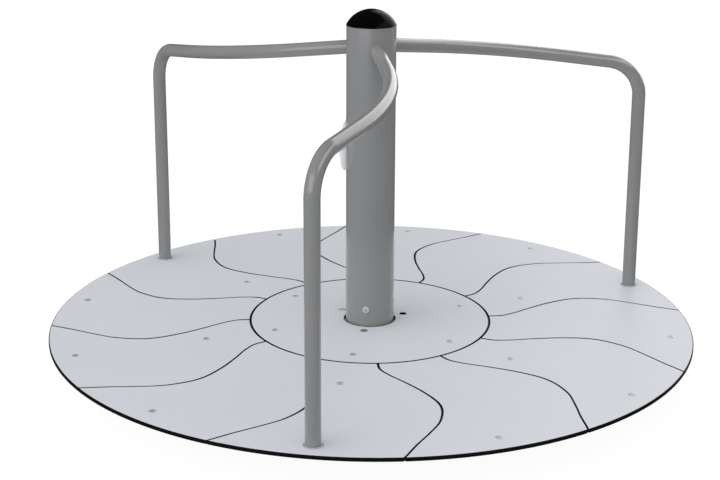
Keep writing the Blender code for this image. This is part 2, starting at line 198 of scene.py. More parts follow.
def studio_floor():
    """A wide disc of pale paper: nearly white to the camera, and dark in a mirror image."""
    shape = bmesh.new()
    bmesh.ops.create_circle(shape, cap_ends=True, segments=96, radius=FLOOR_RADIUS)
    mesh = bpy.data.meshes.new("studio_floor")
    shape.to_mesh(mesh)
    shape.free()
    paper = bpy.data.materials.new("studio_paper")
    paper.use_nodes = True
    tree = paper.node_tree
    surface = tree.nodes["Principled BSDF"]
    surface.inputs["Base Color"].default_value = FLOOR_GREY
    surface.inputs["Roughness"].default_value = FLOOR_ROUGHNESS
    path = tree.nodes.new("ShaderNodeLightPath")
    seen = by_ray(tree, path, "Is Camera Ray", surface.outputs["BSDF"],
                  glow(tree, "ShaderNodeEmission", FLOOR_GLOW_STRENGTH), FLOOR_GLOW_SHARE)
    mirrored = by_ray(tree, path, "Is Glossy Ray", seen, glow(tree, "ShaderNodeEmission", MIRRORED_FLOOR))
    tree.links.new(mirrored, tree.nodes["Material Output"].inputs["Surface"])
    mesh.materials.append(paper)
    floor = bpy.data.objects.new("studio_floor", mesh)
    scene.collection.objects.link(floor)
    floor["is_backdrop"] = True


def studio_world():
    """The lean's product sets the light: none at -1, the middle strength at 0 and twice that at 1."""
    world = bpy.data.worlds.new("studio_world")
    world.use_nodes = True
    tree = world.node_tree
    path = tree.nodes.new("ShaderNodeLightPath")
    sky = tree.nodes.new("ShaderNodeTexCoord")
    lean = tree.nodes.new("ShaderNodeVectorMath")
    lean.operation = "DOT_PRODUCT"
    lean.inputs[1].default_value = AMBIENT_LEAN
    tree.links.new(sky.outputs["Generated"], lean.inputs[0])
    strength = tree.nodes.new("ShaderNodeMapRange")
    strength.inputs["From Min"].default_value = -1.0
    strength.inputs["To Max"].default_value = 2.0 * AMBIENT_STRENGTH
    tree.links.new(lean.outputs["Value"], strength.inputs["Value"])
    light = glow(tree, "ShaderNodeBackground", AMBIENT_STRENGTH, AMBIENT_TINT)
    tree.links.new(strength.outputs["Result"], light.node.inputs["Strength"])
    tree.nodes.remove(tree.nodes["Background"])
    mirrored = by_ray(tree, path, "Is Glossy Ray", light, glow(tree, "ShaderNodeBackground", MIRRORED_WORLD))
    seen = by_ray(tree, path, "Is Camera Ray", mirrored, glow(tree, "ShaderNodeBackground", 1.0))
    tree.links.new(seen, tree.nodes["World Output"].inputs["Surface"])
    scene.world = world


studio_floor()
studio_world()
scene.view_settings.view_transform = "Standard"
print("floor and world made")

# %% [markdown]
# ## Softboxes
# The near handrail carries a broad pale band, and the cap a soft one in the same direction, so a large
# panel stands low behind the object on the right. Its place was found by following rays from the camera off
# the tube where the band begins and ends, and the panels on the right and in front were placed in the same
# way. A mirror image asks for a bright panel, and the even tone of the deck for weak ones. So each panel is
# a pair of lamps in one place: one is seen only in mirror images and the other gives only plain light. The
# panel on the left gives plain light alone.

# %% Softboxes
SOFTBOXES = {
    "behind": {"azimuth": 151.0, "elevation": 25.0, "width": 56.0, "height": 51.0,
               "mirrored": 2.3, "plain": 0.50},
    "right": {"azimuth": 75.0, "elevation": 42.0, "width": 56.0, "height": 24.0,
              "mirrored": 2.6, "plain": 0.15},
    "front": {"azimuth": -23.0, "elevation": 21.0, "width": 58.0, "height": 34.0,
              "mirrored": 2.0, "plain": 0.30},
    "left": {"azimuth": -60.0, "elevation": 22.0, "width": 54.0, "height": 28.0,
             "mirrored": 0.0, "plain": 0.80},
}
SOFTBOX_DISTANCE = 6.0
SOFTBOX_AIM = Vector((0.05, -0.45, 0.90))


def softbox(name, azimuth, elevation, width, height, mirrored, plain):
    """A panel of a given angular width and height in degrees, that faces the near handrail."""
    towards = direction(azimuth, elevation)
    size = [2 * SOFTBOX_DISTANCE * math.tan(math.radians(angle) / 2) for angle in (width, height)]
    for kind, radiance in (("mirrored", mirrored), ("plain", plain)):
        if not radiance:
            continue
        data = bpy.data.lights.new(f"softbox_{name}_{kind}", "AREA")
        data.shape = "RECTANGLE"
        data.size, data.size_y = size
        data.energy = radiance * math.pi * size[0] * size[1]
        lamp = bpy.data.objects.new(data.name, data)
        lamp.location = SOFTBOX_AIM + towards * SOFTBOX_DISTANCE
        lamp.rotation_euler = towards.to_track_quat("Z", "Y").to_euler()
        lamp.visible_camera = False
        lamp.visible_diffuse = kind == "plain"
        lamp.visible_glossy = kind == "mirrored"
        scene.collection.objects.link(lamp)


for name, settings in SOFTBOXES.items():
    softbox(name, **settings)
print("softboxes:", len(SOFTBOXES))

# %% [markdown]
# ## Shader effects in node groups
# Several finishes here share the same small effects: a fine grain, cloudy patches from handling, edges
# rubbed paler, and dust that settles on what faces up. Each is a node group with named sockets, built once,
# and every material that uses it sets its own values. The groups give only masks and heights. They read the
# object's own coordinates, in metres, so the grain has its real scale and turns with the deck.

# %% Helpers for node trees
def add_node(tree, kind, sockets=None, **settings):
    """Add a node. Settings are its own properties, and sockets give its inputs values or outputs to link."""
    made = tree.nodes.new(kind)
    for key, value in settings.items():
        setattr(made, key, value)
    for key, value in (sockets or {}).items():
        if isinstance(value, bpy.types.NodeSocket):
            tree.links.new(value, made.inputs[key])
        else:
            made.inputs[key].default_value = value
    return made


def worked_out(tree, operation, first, second, **settings):
    """The output of one step of arithmetic on two numbers or outputs."""
    step = add_node(tree, "ShaderNodeMath", {0: first, 1: second}, operation=operation, **settings)
    return step.outputs[0]


def noise_of_size(tree, size, detail, roughness):
    """A noise whose spots are about as wide as the size, in metres on the object itself."""
    place = add_node(tree, "ShaderNodeTexCoord")
    noise = add_node(tree, "ShaderNodeTexNoise", {
        "Vector": place.outputs["Object"], "Scale": worked_out(tree, "DIVIDE", 1.0, size),
        "Detail": detail, "Roughness": roughness})
    return noise.outputs["Fac"]


def new_group(name, inputs, output):
    """An empty group: inputs are {label: default}, and the one output is a label. All are plain numbers."""
    tree = bpy.data.node_groups.new(name, "ShaderNodeTree")
    for label, default in inputs.items():
        socket = tree.interface.new_socket(label, in_out="INPUT", socket_type="NodeSocketFloat")
        socket.default_value = default
    tree.interface.new_socket(output, in_out="OUTPUT", socket_type="NodeSocketFloat")
    return tree, tree.nodes.new("NodeGroupInput").outputs, tree.nodes.new("NodeGroupOutput").inputs


print("node helpers ready")

# %% Fine grain group
def fine_grain_group():
    """A fine pebbled surface: the grain size is in metres."""
    tree, given, gives = new_group("Fine grain", {"Grain size": 0.001}, "Height")
    tree.links.new(noise_of_size(tree, given["Grain size"], detail=2.0, roughness=0.6), gives["Height"])
    return tree


FINE_GRAIN = fine_grain_group()
print("made", FINE_GRAIN.name)

# %% Cloudy patches group
def patches_group():
    """Soft uneven patches between 0 and 1, for gloss and tone: the patch size is in metres."""
    tree, given, gives = new_group("Cloudy patches", {"Patch size": 0.2, "Softness": 0.5}, "Mask")
    mask = add_node(tree, "ShaderNodeMapRange", {
        "Value": noise_of_size(tree, given["Patch size"], detail=4.0, roughness=0.55),
        "From Min": worked_out(tree, "SUBTRACT", 0.5, given["Softness"]),
        "From Max": worked_out(tree, "ADD", 0.5, given["Softness"])})
    tree.links.new(mask.outputs["Result"], gives["Mask"])
    return tree


PATCHES = patches_group()
print("made", PATCHES.name)

# %% Rubbed edges group
def rubbed_edges_group():
    """1 on corners and 0 on flat faces: a rounded normal that leaves the true one shows where an edge is."""
    tree, given, gives = new_group("Rubbed edges", {"Edge width": 0.0015, "Breakup": 0.5}, "Mask")
    rounded = add_node(tree, "ShaderNodeBevel", {"Radius": given["Edge width"]}, samples=4)
    true = add_node(tree, "ShaderNodeNewGeometry")
    alike = add_node(tree, "ShaderNodeVectorMath", {
        0: rounded.outputs["Normal"], 1: true.outputs["Normal"]}, operation="DOT_PRODUCT")
    edge = add_node(tree, "ShaderNodeMapRange", {
        "Value": alike.outputs["Value"], "From Min": 0.995, "From Max": 0.85})
    place = add_node(tree, "ShaderNodeTexCoord")
    noise = add_node(tree, "ShaderNodeTexNoise", {
        "Vector": place.outputs["Object"], "Scale": 55.0, "Detail": 3.0})
    broken = worked_out(tree, "MULTIPLY", noise.outputs["Fac"], given["Breakup"])
    left = worked_out(tree, "SUBTRACT", edge.outputs["Result"], broken, use_clamp=True)
    tree.links.new(left, gives["Mask"])
    return tree


RUBBED_EDGES = rubbed_edges_group()
print("made", RUBBED_EDGES.name)

# %% Settled dust group
def settled_dust_group():
    """Dust on what faces up: the world's normal is used, because dust falls straight down."""
    tree, given, gives = new_group("Settled dust", {"Amount": 0.1, "Patch size": 0.08}, "Mask")
    facing = add_node(tree, "ShaderNodeNewGeometry")
    split = add_node(tree, "ShaderNodeSeparateXYZ", {"Vector": facing.outputs["Normal"]})
    upward = add_node(tree, "ShaderNodeMapRange", {
        "Value": split.outputs["Z"], "From Min": 0.3, "From Max": 0.95})
    speckle = noise_of_size(tree, given["Patch size"], detail=5.0, roughness=0.65)
    cover = worked_out(tree, "MULTIPLY", upward.outputs["Result"], speckle)
    tree.links.new(worked_out(tree, "MULTIPLY", cover, given["Amount"]), gives["Mask"])
    return tree


SETTLED_DUST = settled_dust_group()
print("made", SETTLED_DUST.name)

# %% Helpers for materials
def new_finish(name, roughness, metallic=0.0, **constants):
    """A material with its shader's plain values set on the shader's own sockets."""
    finish = bpy.data.materials.new(name)
    finish.use_nodes = True
    shader = finish.node_tree.nodes["Principled BSDF"]
    shader.inputs["Roughness"].default_value = roughness
    shader.inputs["Metallic"].default_value = metallic
    for label, value in constants.items():
        shader.inputs[label.replace("_", " ")].default_value = value
    return finish, finish.node_tree, shader.inputs


def use_group(tree, group, **values):
    """Put a group into a material: the keyword names are its socket names."""
    used = tree.nodes.new("ShaderNodeGroup")
    used.node_tree = group
    for label, value in values.items():
        used.inputs[label.replace("_", " ")].default_value = value
    return used.outputs


def blend_colours(tree, mask, first, second):
    """First colour where the mask is 0, second where it is 1. A colour is three numbers or a socket."""
    mix = add_node(tree, "ShaderNodeMix", data_type="RGBA")
    tree.links.new(mask, mix.inputs["Factor"])
    for slot, colour in (("A", first), ("B", second)):
        socket = next(s for s in mix.inputs if s.name == slot and s.type == "RGBA")
        if isinstance(colour, bpy.types.NodeSocket):
            tree.links.new(colour, socket)
        else:
            socket.default_value = (*colour, 1.0)
    return next(s for s in mix.outputs if s.type == "RGBA")


def between(tree, mask, low, high):
    """A number that runs from low to high as the mask runs from 0 to 1."""
    spread = add_node(tree, "ShaderNodeMapRange", {"Value": mask, "To Min": low, "To Max": high})
    return spread.outputs["Result"]


def raised(tree, height, depth, strength):
    """A bump from a height between 0 and 1. The depth is in metres."""
    bump = add_node(tree, "ShaderNodeBump", {"Height": height, "Distance": depth, "Strength": strength})
    return bump.outputs["Normal"]


def vary(tree, inputs, colour, roughness, normal):
    """Link what changes over a surface: its colour, its gloss and its fine relief."""
    for label, output in (("Base Color", colour), ("Roughness", roughness), ("Normal", normal)):
        tree.links.new(output, inputs[label])


FINISH = {}
print("material helpers ready")

# %% [markdown]
# ## Deck laminate
# The deck boards are compact laminate: a pale cool-grey decor face, about half a millimetre thick, over a
# solid black core. The face is satin, with a very fine pebbled texture against slipping. Its colour is
# nearly even, so the material mixes two close greys over soft patches, varies the gloss in the same way,
# and puts the fine grain in as a shallow bump.

# %% Laminate face
def deck_laminate():
    grey, pale_grey, dusty = (0.636, 0.646, 0.684), (0.656, 0.666, 0.702), (0.55, 0.54, 0.52)
    finish, tree, inputs = new_finish("deck_laminate", roughness=0.46, IOR=1.5, Specular_IOR_Level=0.10)
    patches = use_group(tree, PATCHES, Patch_size=0.35, Softness=0.35)
    dust = use_group(tree, SETTLED_DUST, Amount=0.10, Patch_size=0.05)
    grain = use_group(tree, FINE_GRAIN, Grain_size=0.0011)
    face = blend_colours(tree, patches["Mask"], grey, pale_grey)
    vary(tree, inputs, colour=blend_colours(tree, dust["Mask"], face, dusty),
         roughness=between(tree, patches["Mask"], low=0.42, high=0.50),
         normal=raised(tree, grain["Height"], depth=0.00012, strength=0.35))
    return finish


FINISH["deck_laminate"] = deck_laminate()
print("made the laminate's face")

# %% [markdown]
# ## Laminate core
# On the edges and in the holes saw and drill left the black core bare. It is pressed from many sheets
# of paper, which show as faint level lines. The lines come from a noise that is stretched flat, so it
# changes quickly with height and slowly along the edge.

# %% Laminate core
def laminate_core():
    black, grey_black, rubbed = (0.003, 0.003, 0.0034), (0.007, 0.007, 0.0076), (0.020, 0.020, 0.022)
    finish, tree, inputs = new_finish("laminate_core", roughness=0.60, Specular_IOR_Level=0.04)
    place = add_node(tree, "ShaderNodeTexCoord")
    stretch = add_node(tree, "ShaderNodeMapping", {
        "Vector": place.outputs["Object"], "Scale": (18.0, 18.0, 2600.0)})
    sheets = add_node(tree, "ShaderNodeTexNoise", {
        "Vector": stretch.outputs["Vector"], "Scale": 1.0, "Detail": 2.0}).outputs["Fac"]
    edges = use_group(tree, RUBBED_EDGES, Edge_width=0.0006, Breakup=0.7)
    core = blend_colours(tree, sheets, black, grey_black)
    vary(tree, inputs, colour=blend_colours(tree, edges["Mask"], core, rubbed),
         roughness=between(tree, sheets, low=0.36, high=0.50),
         normal=raised(tree, sheets, depth=0.0001, strength=0.4))
    return finish


FINISH["laminate_core"] = laminate_core()
print("made the laminate's core")

# %% [markdown]
# ## Grey powder coat
# Post and handrails are steel, sprayed with mid-grey powder that melts into a satin skin. Such a skin is
# never quite level: it has the soft dimples called orange peel, two or three millimetres apart, which break
# up a highlight at its ends. The dimples are a shallow bump from the grain group at a larger size. Hands
# polish the rails unevenly, so the gloss varies in patches, and the rims wear a little paler.

# %% Grey powder coat
def grey_paint():
    grey, warm_grey = (0.230, 0.231, 0.231), (0.242, 0.242, 0.241)
    rubbed, dusty = (0.30, 0.30, 0.30), (0.33, 0.32, 0.30)
    finish, tree, inputs = new_finish("grey_paint", roughness=0.24, IOR=1.5, Coat_Roughness=0.12)
    patches = use_group(tree, PATCHES, Patch_size=0.12, Softness=0.50)
    peel = use_group(tree, FINE_GRAIN, Grain_size=0.0026)
    edges = use_group(tree, RUBBED_EDGES, Edge_width=0.0012, Breakup=0.9)
    dust = use_group(tree, SETTLED_DUST, Amount=0.10, Patch_size=0.03)
    skin = blend_colours(tree, patches["Mask"], grey, warm_grey)
    worn = blend_colours(tree, edges["Mask"], skin, rubbed)
    vary(tree, inputs, colour=blend_colours(tree, dust["Mask"], worn, dusty),
         roughness=between(tree, patches["Mask"], low=0.21, high=0.27),
         normal=raised(tree, peel["Height"], depth=0.00010, strength=0.30))
    tree.links.new(between(tree, patches["Mask"], low=0.50, high=0.36), inputs["Coat Weight"])
    return finish


FINISH["grey_paint"] = grey_paint()
print("made the powder coat")

# %% [markdown]
# ## Black cap plastic
# The cap is moulded nylon, glossy and nearly black, so what shows of it is what it mirrors. It gets a very
# low base colour, a low roughness that varies a little, the faint grain of its mould, and a trace of dust
# on top.

# %% Black cap plastic
def black_plastic():
    black, soft_black, dusty = (0.0012, 0.0012, 0.0014), (0.0026, 0.0026, 0.0028), (0.10, 0.10, 0.095)
    finish, tree, inputs = new_finish("black_plastic", roughness=0.20, IOR=1.49, Specular_IOR_Level=0.035)
    patches = use_group(tree, PATCHES, Patch_size=0.03, Softness=0.3)
    grain = use_group(tree, FINE_GRAIN, Grain_size=0.0018)
    dust = use_group(tree, SETTLED_DUST, Amount=0.002, Patch_size=0.02)
    body = blend_colours(tree, patches["Mask"], black, soft_black)
    vary(tree, inputs, colour=blend_colours(tree, dust["Mask"], body, dusty),
         roughness=between(tree, patches["Mask"], low=0.18, high=0.24),
         normal=raised(tree, grain["Height"], depth=0.00008, strength=0.15))
    return finish


FINISH["black_plastic"] = black_plastic()
print("made the cap's plastic")

# %% [markdown]
# ## Pale plate
# The round plate on the post is a pale milky plastic, satin and without print. It looks bright although its
# back is turned to the lights, so light comes through it. Subsurface scattering with a reach of about a
# centimetre does most of that. The rest is painted light: a faint glow of its own, though the plate is no
# lamp, lifts it where the post shades it.

# %% Pale plate
def pale_plate():
    milky, bright, rubbed = (0.88, 0.90, 0.96), (0.91, 0.93, 0.98), (0.90, 0.90, 0.92)
    # The emission is painted light: a faint glow that brightens the plate where the post shades it.
    finish, tree, inputs = new_finish(
        "pale_plate", roughness=0.38, Subsurface_Weight=0.85, Subsurface_Scale=0.012,
        Subsurface_Radius=(1.0, 1.0, 1.0), Emission_Strength=0.17, Emission_Color=(0.90, 0.93, 1.0, 1.0))
    patches = use_group(tree, PATCHES, Patch_size=0.05, Softness=0.4)
    grain = use_group(tree, FINE_GRAIN, Grain_size=0.0012)
    edges = use_group(tree, RUBBED_EDGES, Edge_width=0.0008, Breakup=0.8)
    face = blend_colours(tree, patches["Mask"], milky, bright)
    vary(tree, inputs, colour=blend_colours(tree, edges["Mask"], face, rubbed),
         roughness=between(tree, patches["Mask"], low=0.33, high=0.43),
         normal=raised(tree, grain["Height"], depth=0.00008, strength=0.25))
    return finish


FINISH["pale_plate"] = pale_plate()
print("made the milky plastic")

# %% [markdown]
# ## Zinc and bare steel
# The frame and base hang in a zinc bath before they are fitted, and the zinc sets in flat crystals, the
# spangle. A Voronoi texture gives each crystal its own grey and gloss. Spindle and bearings are turned
# steel, whose fine lines come from a Wave texture in bands along the axis.

# %% Galvanised steel
def galvanised_steel():
    dark_zinc, light_zinc = (0.36, 0.37, 0.38), (0.50, 0.51, 0.52)
    rubbed, dusty = (0.62, 0.62, 0.62), (0.30, 0.28, 0.25)
    finish, tree, inputs = new_finish("galvanised_steel", roughness=0.50, metallic=0.85)
    place = add_node(tree, "ShaderNodeTexCoord")
    spangle = add_node(tree, "ShaderNodeTexVoronoi", {
        "Vector": place.outputs["Object"], "Scale": 90.0, "Randomness": 1.0})
    crystal = add_node(tree, "ShaderNodeSeparateColor", {"Color": spangle.outputs["Color"]})
    grain = use_group(tree, FINE_GRAIN, Grain_size=0.0015)
    dust = use_group(tree, SETTLED_DUST, Amount=0.5, Patch_size=0.06)
    edges = use_group(tree, RUBBED_EDGES, Edge_width=0.0010, Breakup=0.8)
    zinc = blend_colours(tree, crystal.outputs["Red"], dark_zinc, light_zinc)
    worn = blend_colours(tree, edges["Mask"], zinc, rubbed)
    vary(tree, inputs, colour=blend_colours(tree, dust["Mask"], worn, dusty),
         roughness=between(tree, crystal.outputs["Green"], low=0.38, high=0.58),
         normal=raised(tree, grain["Height"], depth=0.00015, strength=0.4))
    return finish


FINISH["galvanised_steel"] = galvanised_steel()
print("made the zinc")

# %% Turned steel
def bearing_steel():
    steel, light_steel = (0.30, 0.30, 0.31), (0.40, 0.40, 0.41)
    finish, tree, inputs = new_finish("bearing_steel", roughness=0.28, metallic=1.0)
    place = add_node(tree, "ShaderNodeTexCoord")
    lines = add_node(tree, "ShaderNodeTexWave", {
        "Vector": place.outputs["Object"], "Scale": 900.0, "Distortion": 1.5, "Detail": 2.0},
        wave_type="BANDS", bands_direction="Z").outputs["Fac"]
    patches = use_group(tree, PATCHES, Patch_size=0.02, Softness=0.4)
    vary(tree, inputs, colour=blend_colours(tree, patches["Mask"], steel, light_steel),
         roughness=between(tree, lines, low=0.22, high=0.34),
         normal=raised(tree, lines, depth=0.00005, strength=0.4))
    return finish


FINISH["bearing_steel"] = bearing_steel()
print("made the turned steel")

# %% [markdown]
# ## Small parts
# Collars, plugs and screws are too small to show more than a tone, a fine grain, a paler edge and a little
# dirt. One function makes them all, and a table gives each its own values. The collars at the feet of the
# rails are light grey rubber, matt and coarse. The two plugs in the centre disc are the same kind of plug,
# and their two tones are painted reflections: the dark grey stands for the dark post that the near plug
# mirrors, and the pale grey for the white surroundings that the far plug mirrors. The screws and bolts are
# stainless, with the grain of the tool that made them.

# %% Small parts
RUBBER = {"plain": 0.62, "gloss": (0.55, 0.70), "grain": 0.0007, "edge": (0.0010, 0.6), "dust": 0.35,
          "relief": (0.00015, 0.5)}
SMALL_PARTS = {
    "collar_rubber": {
        **RUBBER, "body": (0.47, 0.472, 0.48), "rubbed": (0.53, 0.53, 0.537), "dirt": (0.42, 0.41, 0.39)},
    # Painted reflection: this dark grey stands for the dark post that the near plug mirrors.
    "plug_dark_painted_reflection": {
        **RUBBER, "body": (0.155, 0.156, 0.162), "rubbed": (0.22, 0.22, 0.225), "dirt": (0.25, 0.24, 0.23)},
    # Painted reflection: this pale grey stands for the white surroundings that the far plug mirrors.
    "plug_pale_painted_reflection": {
        "plain": 0.50, "gloss": (0.42, 0.58), "grain": 0.0006, "edge": (0.0005, 0.5), "dust": 0.25,
        "relief": (0.00008, 0.3), "body": (0.47, 0.475, 0.49), "rubbed": (0.56, 0.56, 0.57),
        "dirt": (0.40, 0.39, 0.37)},
    "screw_steel": {
        "plain": 0.54, "gloss": (0.48, 0.60), "grain": 0.0006, "edge": (0.0005, 0.5), "dust": 0.15,
        "relief": (0.00005, 0.4), "body": (0.56, 0.56, 0.57), "rubbed": (0.68, 0.68, 0.69),
        "dirt": (0.35, 0.34, 0.32), "metallic": 0.55},
}


def small_part(name, plain, gloss, grain, edge, dust, relief, body, rubbed, dirt, metallic=0.0):
    """Plain is the roughness where nothing varies it, edge a width and its breakup, and relief the depth
    and strength of the bump."""
    finish, tree, inputs = new_finish(name, plain, metallic)
    fine = use_group(tree, FINE_GRAIN, Grain_size=grain)
    edges = use_group(tree, RUBBED_EDGES, Edge_width=edge[0], Breakup=edge[1])
    settled = use_group(tree, SETTLED_DUST, Amount=dust, Patch_size=0.01)
    worn = blend_colours(tree, edges["Mask"], body, rubbed)
    vary(tree, inputs, colour=blend_colours(tree, settled["Mask"], worn, dirt),
         roughness=between(tree, fine["Height"], *gloss),
         normal=raised(tree, fine["Height"], *relief))
    return finish


for name, values in SMALL_PARTS.items():
    FINISH[name] = small_part(name, **values)
print("finishes:", sorted(FINISH))

# %% [markdown]
# ## Giving every CAD node its finish
# The CAD nodes come in with plain colours. Each one's record names a material slot, so a loop gives every
# node the finish of its slot. Most that show are replaced further down by finer pieces. Those that stay,
# such as the bearings inside the hub, are then finished too.

# %% Finishes on the CAD nodes
for part in frame["record"]["subparts"]:
    node = frame["nodes"][part["node"]]
    node.data.materials.clear()
    node.data.materials.append(FINISH[part["material_slot"]])

# %% [markdown]
# ## Building shapes
# Three ways of making a shape cover almost the whole object. A flat board or plate is a filled 2D curve
# with an extrude and a small bevel, which breaks its edges as a router does; a negative offset keeps the
# outline's true size. A round piece is a profile turned about the axis. A tube is a path with a round
# section. Corners of profiles and outlines are rounded by one helper, because no real edge is perfectly
# sharp.

# %% Helpers for meshes
WELD_DISTANCE = 0.000005
SHARP_ANGLE = 40.0
LAID_OVER = Matrix.Rotation(math.radians(90.0), 4, "Y")


def polar(radius, degrees, height=0.0):
    angle = math.radians(degrees)
    return Vector((radius * math.cos(angle), radius * math.sin(angle), height))


def turn_about_z(degrees):
    return Matrix.Rotation(math.radians(degrees), 4, "Z")


def mesh_from(shape, name, sharp=SHARP_ANGLE):
    """Close a bmesh into a mesh: welded, facing out, round faces smooth and corners sharp."""
    bmesh.ops.remove_doubles(shape, verts=shape.verts, dist=WELD_DISTANCE)
    bmesh.ops.recalc_face_normals(shape, faces=shape.faces)
    mesh = bpy.data.meshes.new(name)
    shape.to_mesh(mesh)
    shape.free()
    mesh.shade_smooth()
    mesh.set_sharp_from_angle(angle=math.radians(sharp))
    return mesh


def mesh_of_curve(curve, name):
    """The mesh that a curve comes to, with its loose caps welded on."""
    guide = bpy.data.objects.new(name, curve)
    scene.collection.objects.link(guide)
    evaluated = guide.evaluated_get(bpy.context.evaluated_depsgraph_get())
    drawn = bpy.data.meshes.new_from_object(evaluated)
    shape = bmesh.new()
    shape.from_mesh(drawn)
    bpy.data.objects.remove(guide)
    bpy.data.curves.remove(curve)
    bpy.data.meshes.remove(drawn)
    return mesh_from(shape, name)


def rounded(corners, steps=4):
    """A closed outline with its corners rounded: each corner is (x, y, radius of its round)."""
    path = []
    for i, (x, y, radius) in enumerate(corners):
        here = Vector((x, y))
        if not radius:
            path.append(here)
            continue
        back = (Vector(corners[i - 1][:2]) - here).normalized()
        ahead = (Vector(corners[(i + 1) % len(corners)][:2]) - here).normalized()
        half = back.angle(ahead) / 2
        centre = here + (back + ahead).normalized() * radius / math.sin(half)
        start = here + back * radius / math.tan(half) - centre
        end = here + ahead * radius / math.tan(half) - centre
        for k in range(steps + 1):
            path.append(centre + start.slerp(end, k / steps).normalized() * radius)
    return path


def circle(radius, steps, centre=Vector((0.0, 0.0, 0.0))):
    return [centre + polar(radius, 360.0 / steps * i) for i in range(steps)]


def put(name, mesh, slot, *finishes, body="platform"):
    """Link a mesh as a named piece that rides on a body. A bare mesh gets the finishes, or its slot's."""
    if not mesh.materials:
        for finish in finishes or (slot,):
            mesh.materials.append(FINISH[finish])
    piece = bpy.data.objects.new(name, mesh)
    scene.collection.objects.link(piece)
    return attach(piece, body)


print("mesh helpers ready")

# %% Boards, turned pieces and tubes
def poly_curve(name, dimensions, bevel, resolution, paths, cyclic):
    """A curve through lists of points, with a round bevel of a given radius."""
    curve = bpy.data.curves.new(name, "CURVE")
    curve.dimensions = dimensions
    curve.bevel_depth = bevel
    curve.bevel_resolution = resolution
    for path in paths:
        spline = curve.splines.new("POLY")
        spline.points.add(len(path) - 1)
        for point, position in zip(spline.points, path):
            point.co = (*position, 1.0)
        spline.use_cyclic_u = cyclic
    return curve


def flat_board(name, loops, low, high, arris, arris_steps=2):
    """A plate with broken edges: the first outline is its rim and the others are holes."""
    curve = poly_curve(name, "2D", arris, arris_steps, loops, cyclic=True)
    curve.fill_mode = "BOTH"
    curve.offset = -arris
    curve.extrude = (high - low) / 2 - arris
    mesh = mesh_of_curve(curve, name)
    mesh.transform(Matrix.Translation((0.0, 0.0, (high + low) / 2)))
    return mesh


def tube(name, path, radius, resolution=10):
    """A round tube along a path, closed at both ends."""
    curve = poly_curve(name, "3D", radius, resolution, [path], cyclic=False)
    curve.use_fill_caps = True
    return mesh_of_curve(curve, name)


def turned(name, profile, steps, closed=True, sharp=SHARP_ANGLE):
    """A profile of (radius, height) points turned about the upright axis."""
    shape = bmesh.new()
    points = [shape.verts.new((radius, 0.0, height)) for radius, height in profile]
    edges = [shape.edges.new(pair) for pair in zip(points, points[1:])]
    if closed:
        edges.append(shape.edges.new((points[-1], points[0])))
    bmesh.ops.spin(shape, geom=points + edges, cent=(0.0, 0.0, 0.0), axis=(0.0, 0.0, 1.0),
                   angle=math.tau, steps=steps, use_merge=True)
    return mesh_from(shape, name, sharp)


def prism(name, sides, radius, low, high):
    """An upright bar with flat sides, such as a nut."""
    shape = bmesh.new()
    bmesh.ops.create_cone(shape, cap_ends=True, segments=sides, radius1=radius, radius2=radius,
                          depth=high - low, matrix=Matrix.Translation((0.0, 0.0, (high + low) / 2)))
    return mesh_from(shape, name)


print("ways of making a shape ready")

# %% Joining and cutting shapes
def joined(name, parts):
    """One mesh of several patterns, each with the matrix that takes it to its place."""
    shape = bmesh.new()
    for pattern, matrix in parts:
        one = pattern.copy()
        one.transform(matrix)
        shape.from_mesh(one)
        bpy.data.meshes.remove(one)
    mesh = bpy.data.meshes.new(name)
    shape.to_mesh(mesh)
    shape.free()
    return mesh


def copies(name, pattern, matrices):
    """One pattern at each matrix: many small fasteners share one piece."""
    return joined(name, [(pattern, matrix) for matrix in matrices])


def combine(mesh, tool, operation):
    """The mesh after a Boolean with a tool mesh. It takes the place and the name of the old one."""
    name = mesh.name
    work = bpy.data.objects.new(name, mesh)
    cutter = bpy.data.objects.new(tool.name, tool)
    for obj in (work, cutter):
        scene.collection.objects.link(obj)
    step = work.modifiers.new("Step", "BOOLEAN")
    step.operation = operation
    step.object = cutter
    step.solver = "EXACT"
    evaluated = work.evaluated_get(bpy.context.evaluated_depsgraph_get())
    made = bpy.data.meshes.new_from_object(evaluated)
    for obj in (work, cutter):
        bpy.data.objects.remove(obj)
    bpy.data.meshes.remove(mesh)
    made.name = name
    made.shade_smooth()
    made.set_sharp_from_angle(angle=math.radians(SHARP_ANGLE))
    return made


print("joining and cutting ready")

# %% [markdown]
# ## The run of a seam
# Between two boards runs an S-shaped seam, the same twelve times. In the CAD model it is a short list of
# radii and swing angles joined by a smooth curve. The same list is written here, but the curve is sampled
# about four times as finely, because the outlines of the boards are what the eye follows in the photo.

# %% Seams
SEAM_WAVE = (
    (0.397, 0.0), (0.425, 0.05), (0.446, 0.5), (0.487, 3.0), (0.548, 7.1), (0.630, 10.7),
    (0.732, 12.4), (0.834, 10.2), (0.915, 6.6), (0.976, 3.95), (1.053, 1.4),
)
SEAM_INNER_ANGLE = 12.53
SEAM_GAP = BOARD_INNER - DISC_RADIUS
SEAM_SAMPLES = 64
SLOPE_STEP = 0.0005
BOARD_PITCH = 30.0


def seam_swing(radius):
    """Swing of a seam at a radius, in degrees: a smooth curve through the points of the wave."""
    last = len(SEAM_WAVE) - 1
    span = next((i for i in range(last) if radius <= SEAM_WAVE[i + 1][0]), last - 1)

    def slope(i):
        (near, less), (far, more) = SEAM_WAVE[max(i - 1, 0)], SEAM_WAVE[min(i + 1, last)]
        return (more - less) / (far - near)

    (start, before), (end, after) = SEAM_WAVE[span], SEAM_WAVE[span + 1]
    width = end - start
    t = (radius - start) / width
    return (
        before * (1 + 2 * t) * (1 - t) ** 2 + slope(span) * width * t * (1 - t) ** 2
        + after * t * t * (3 - 2 * t) + slope(span + 1) * width * t * t * (t - 1)
    )


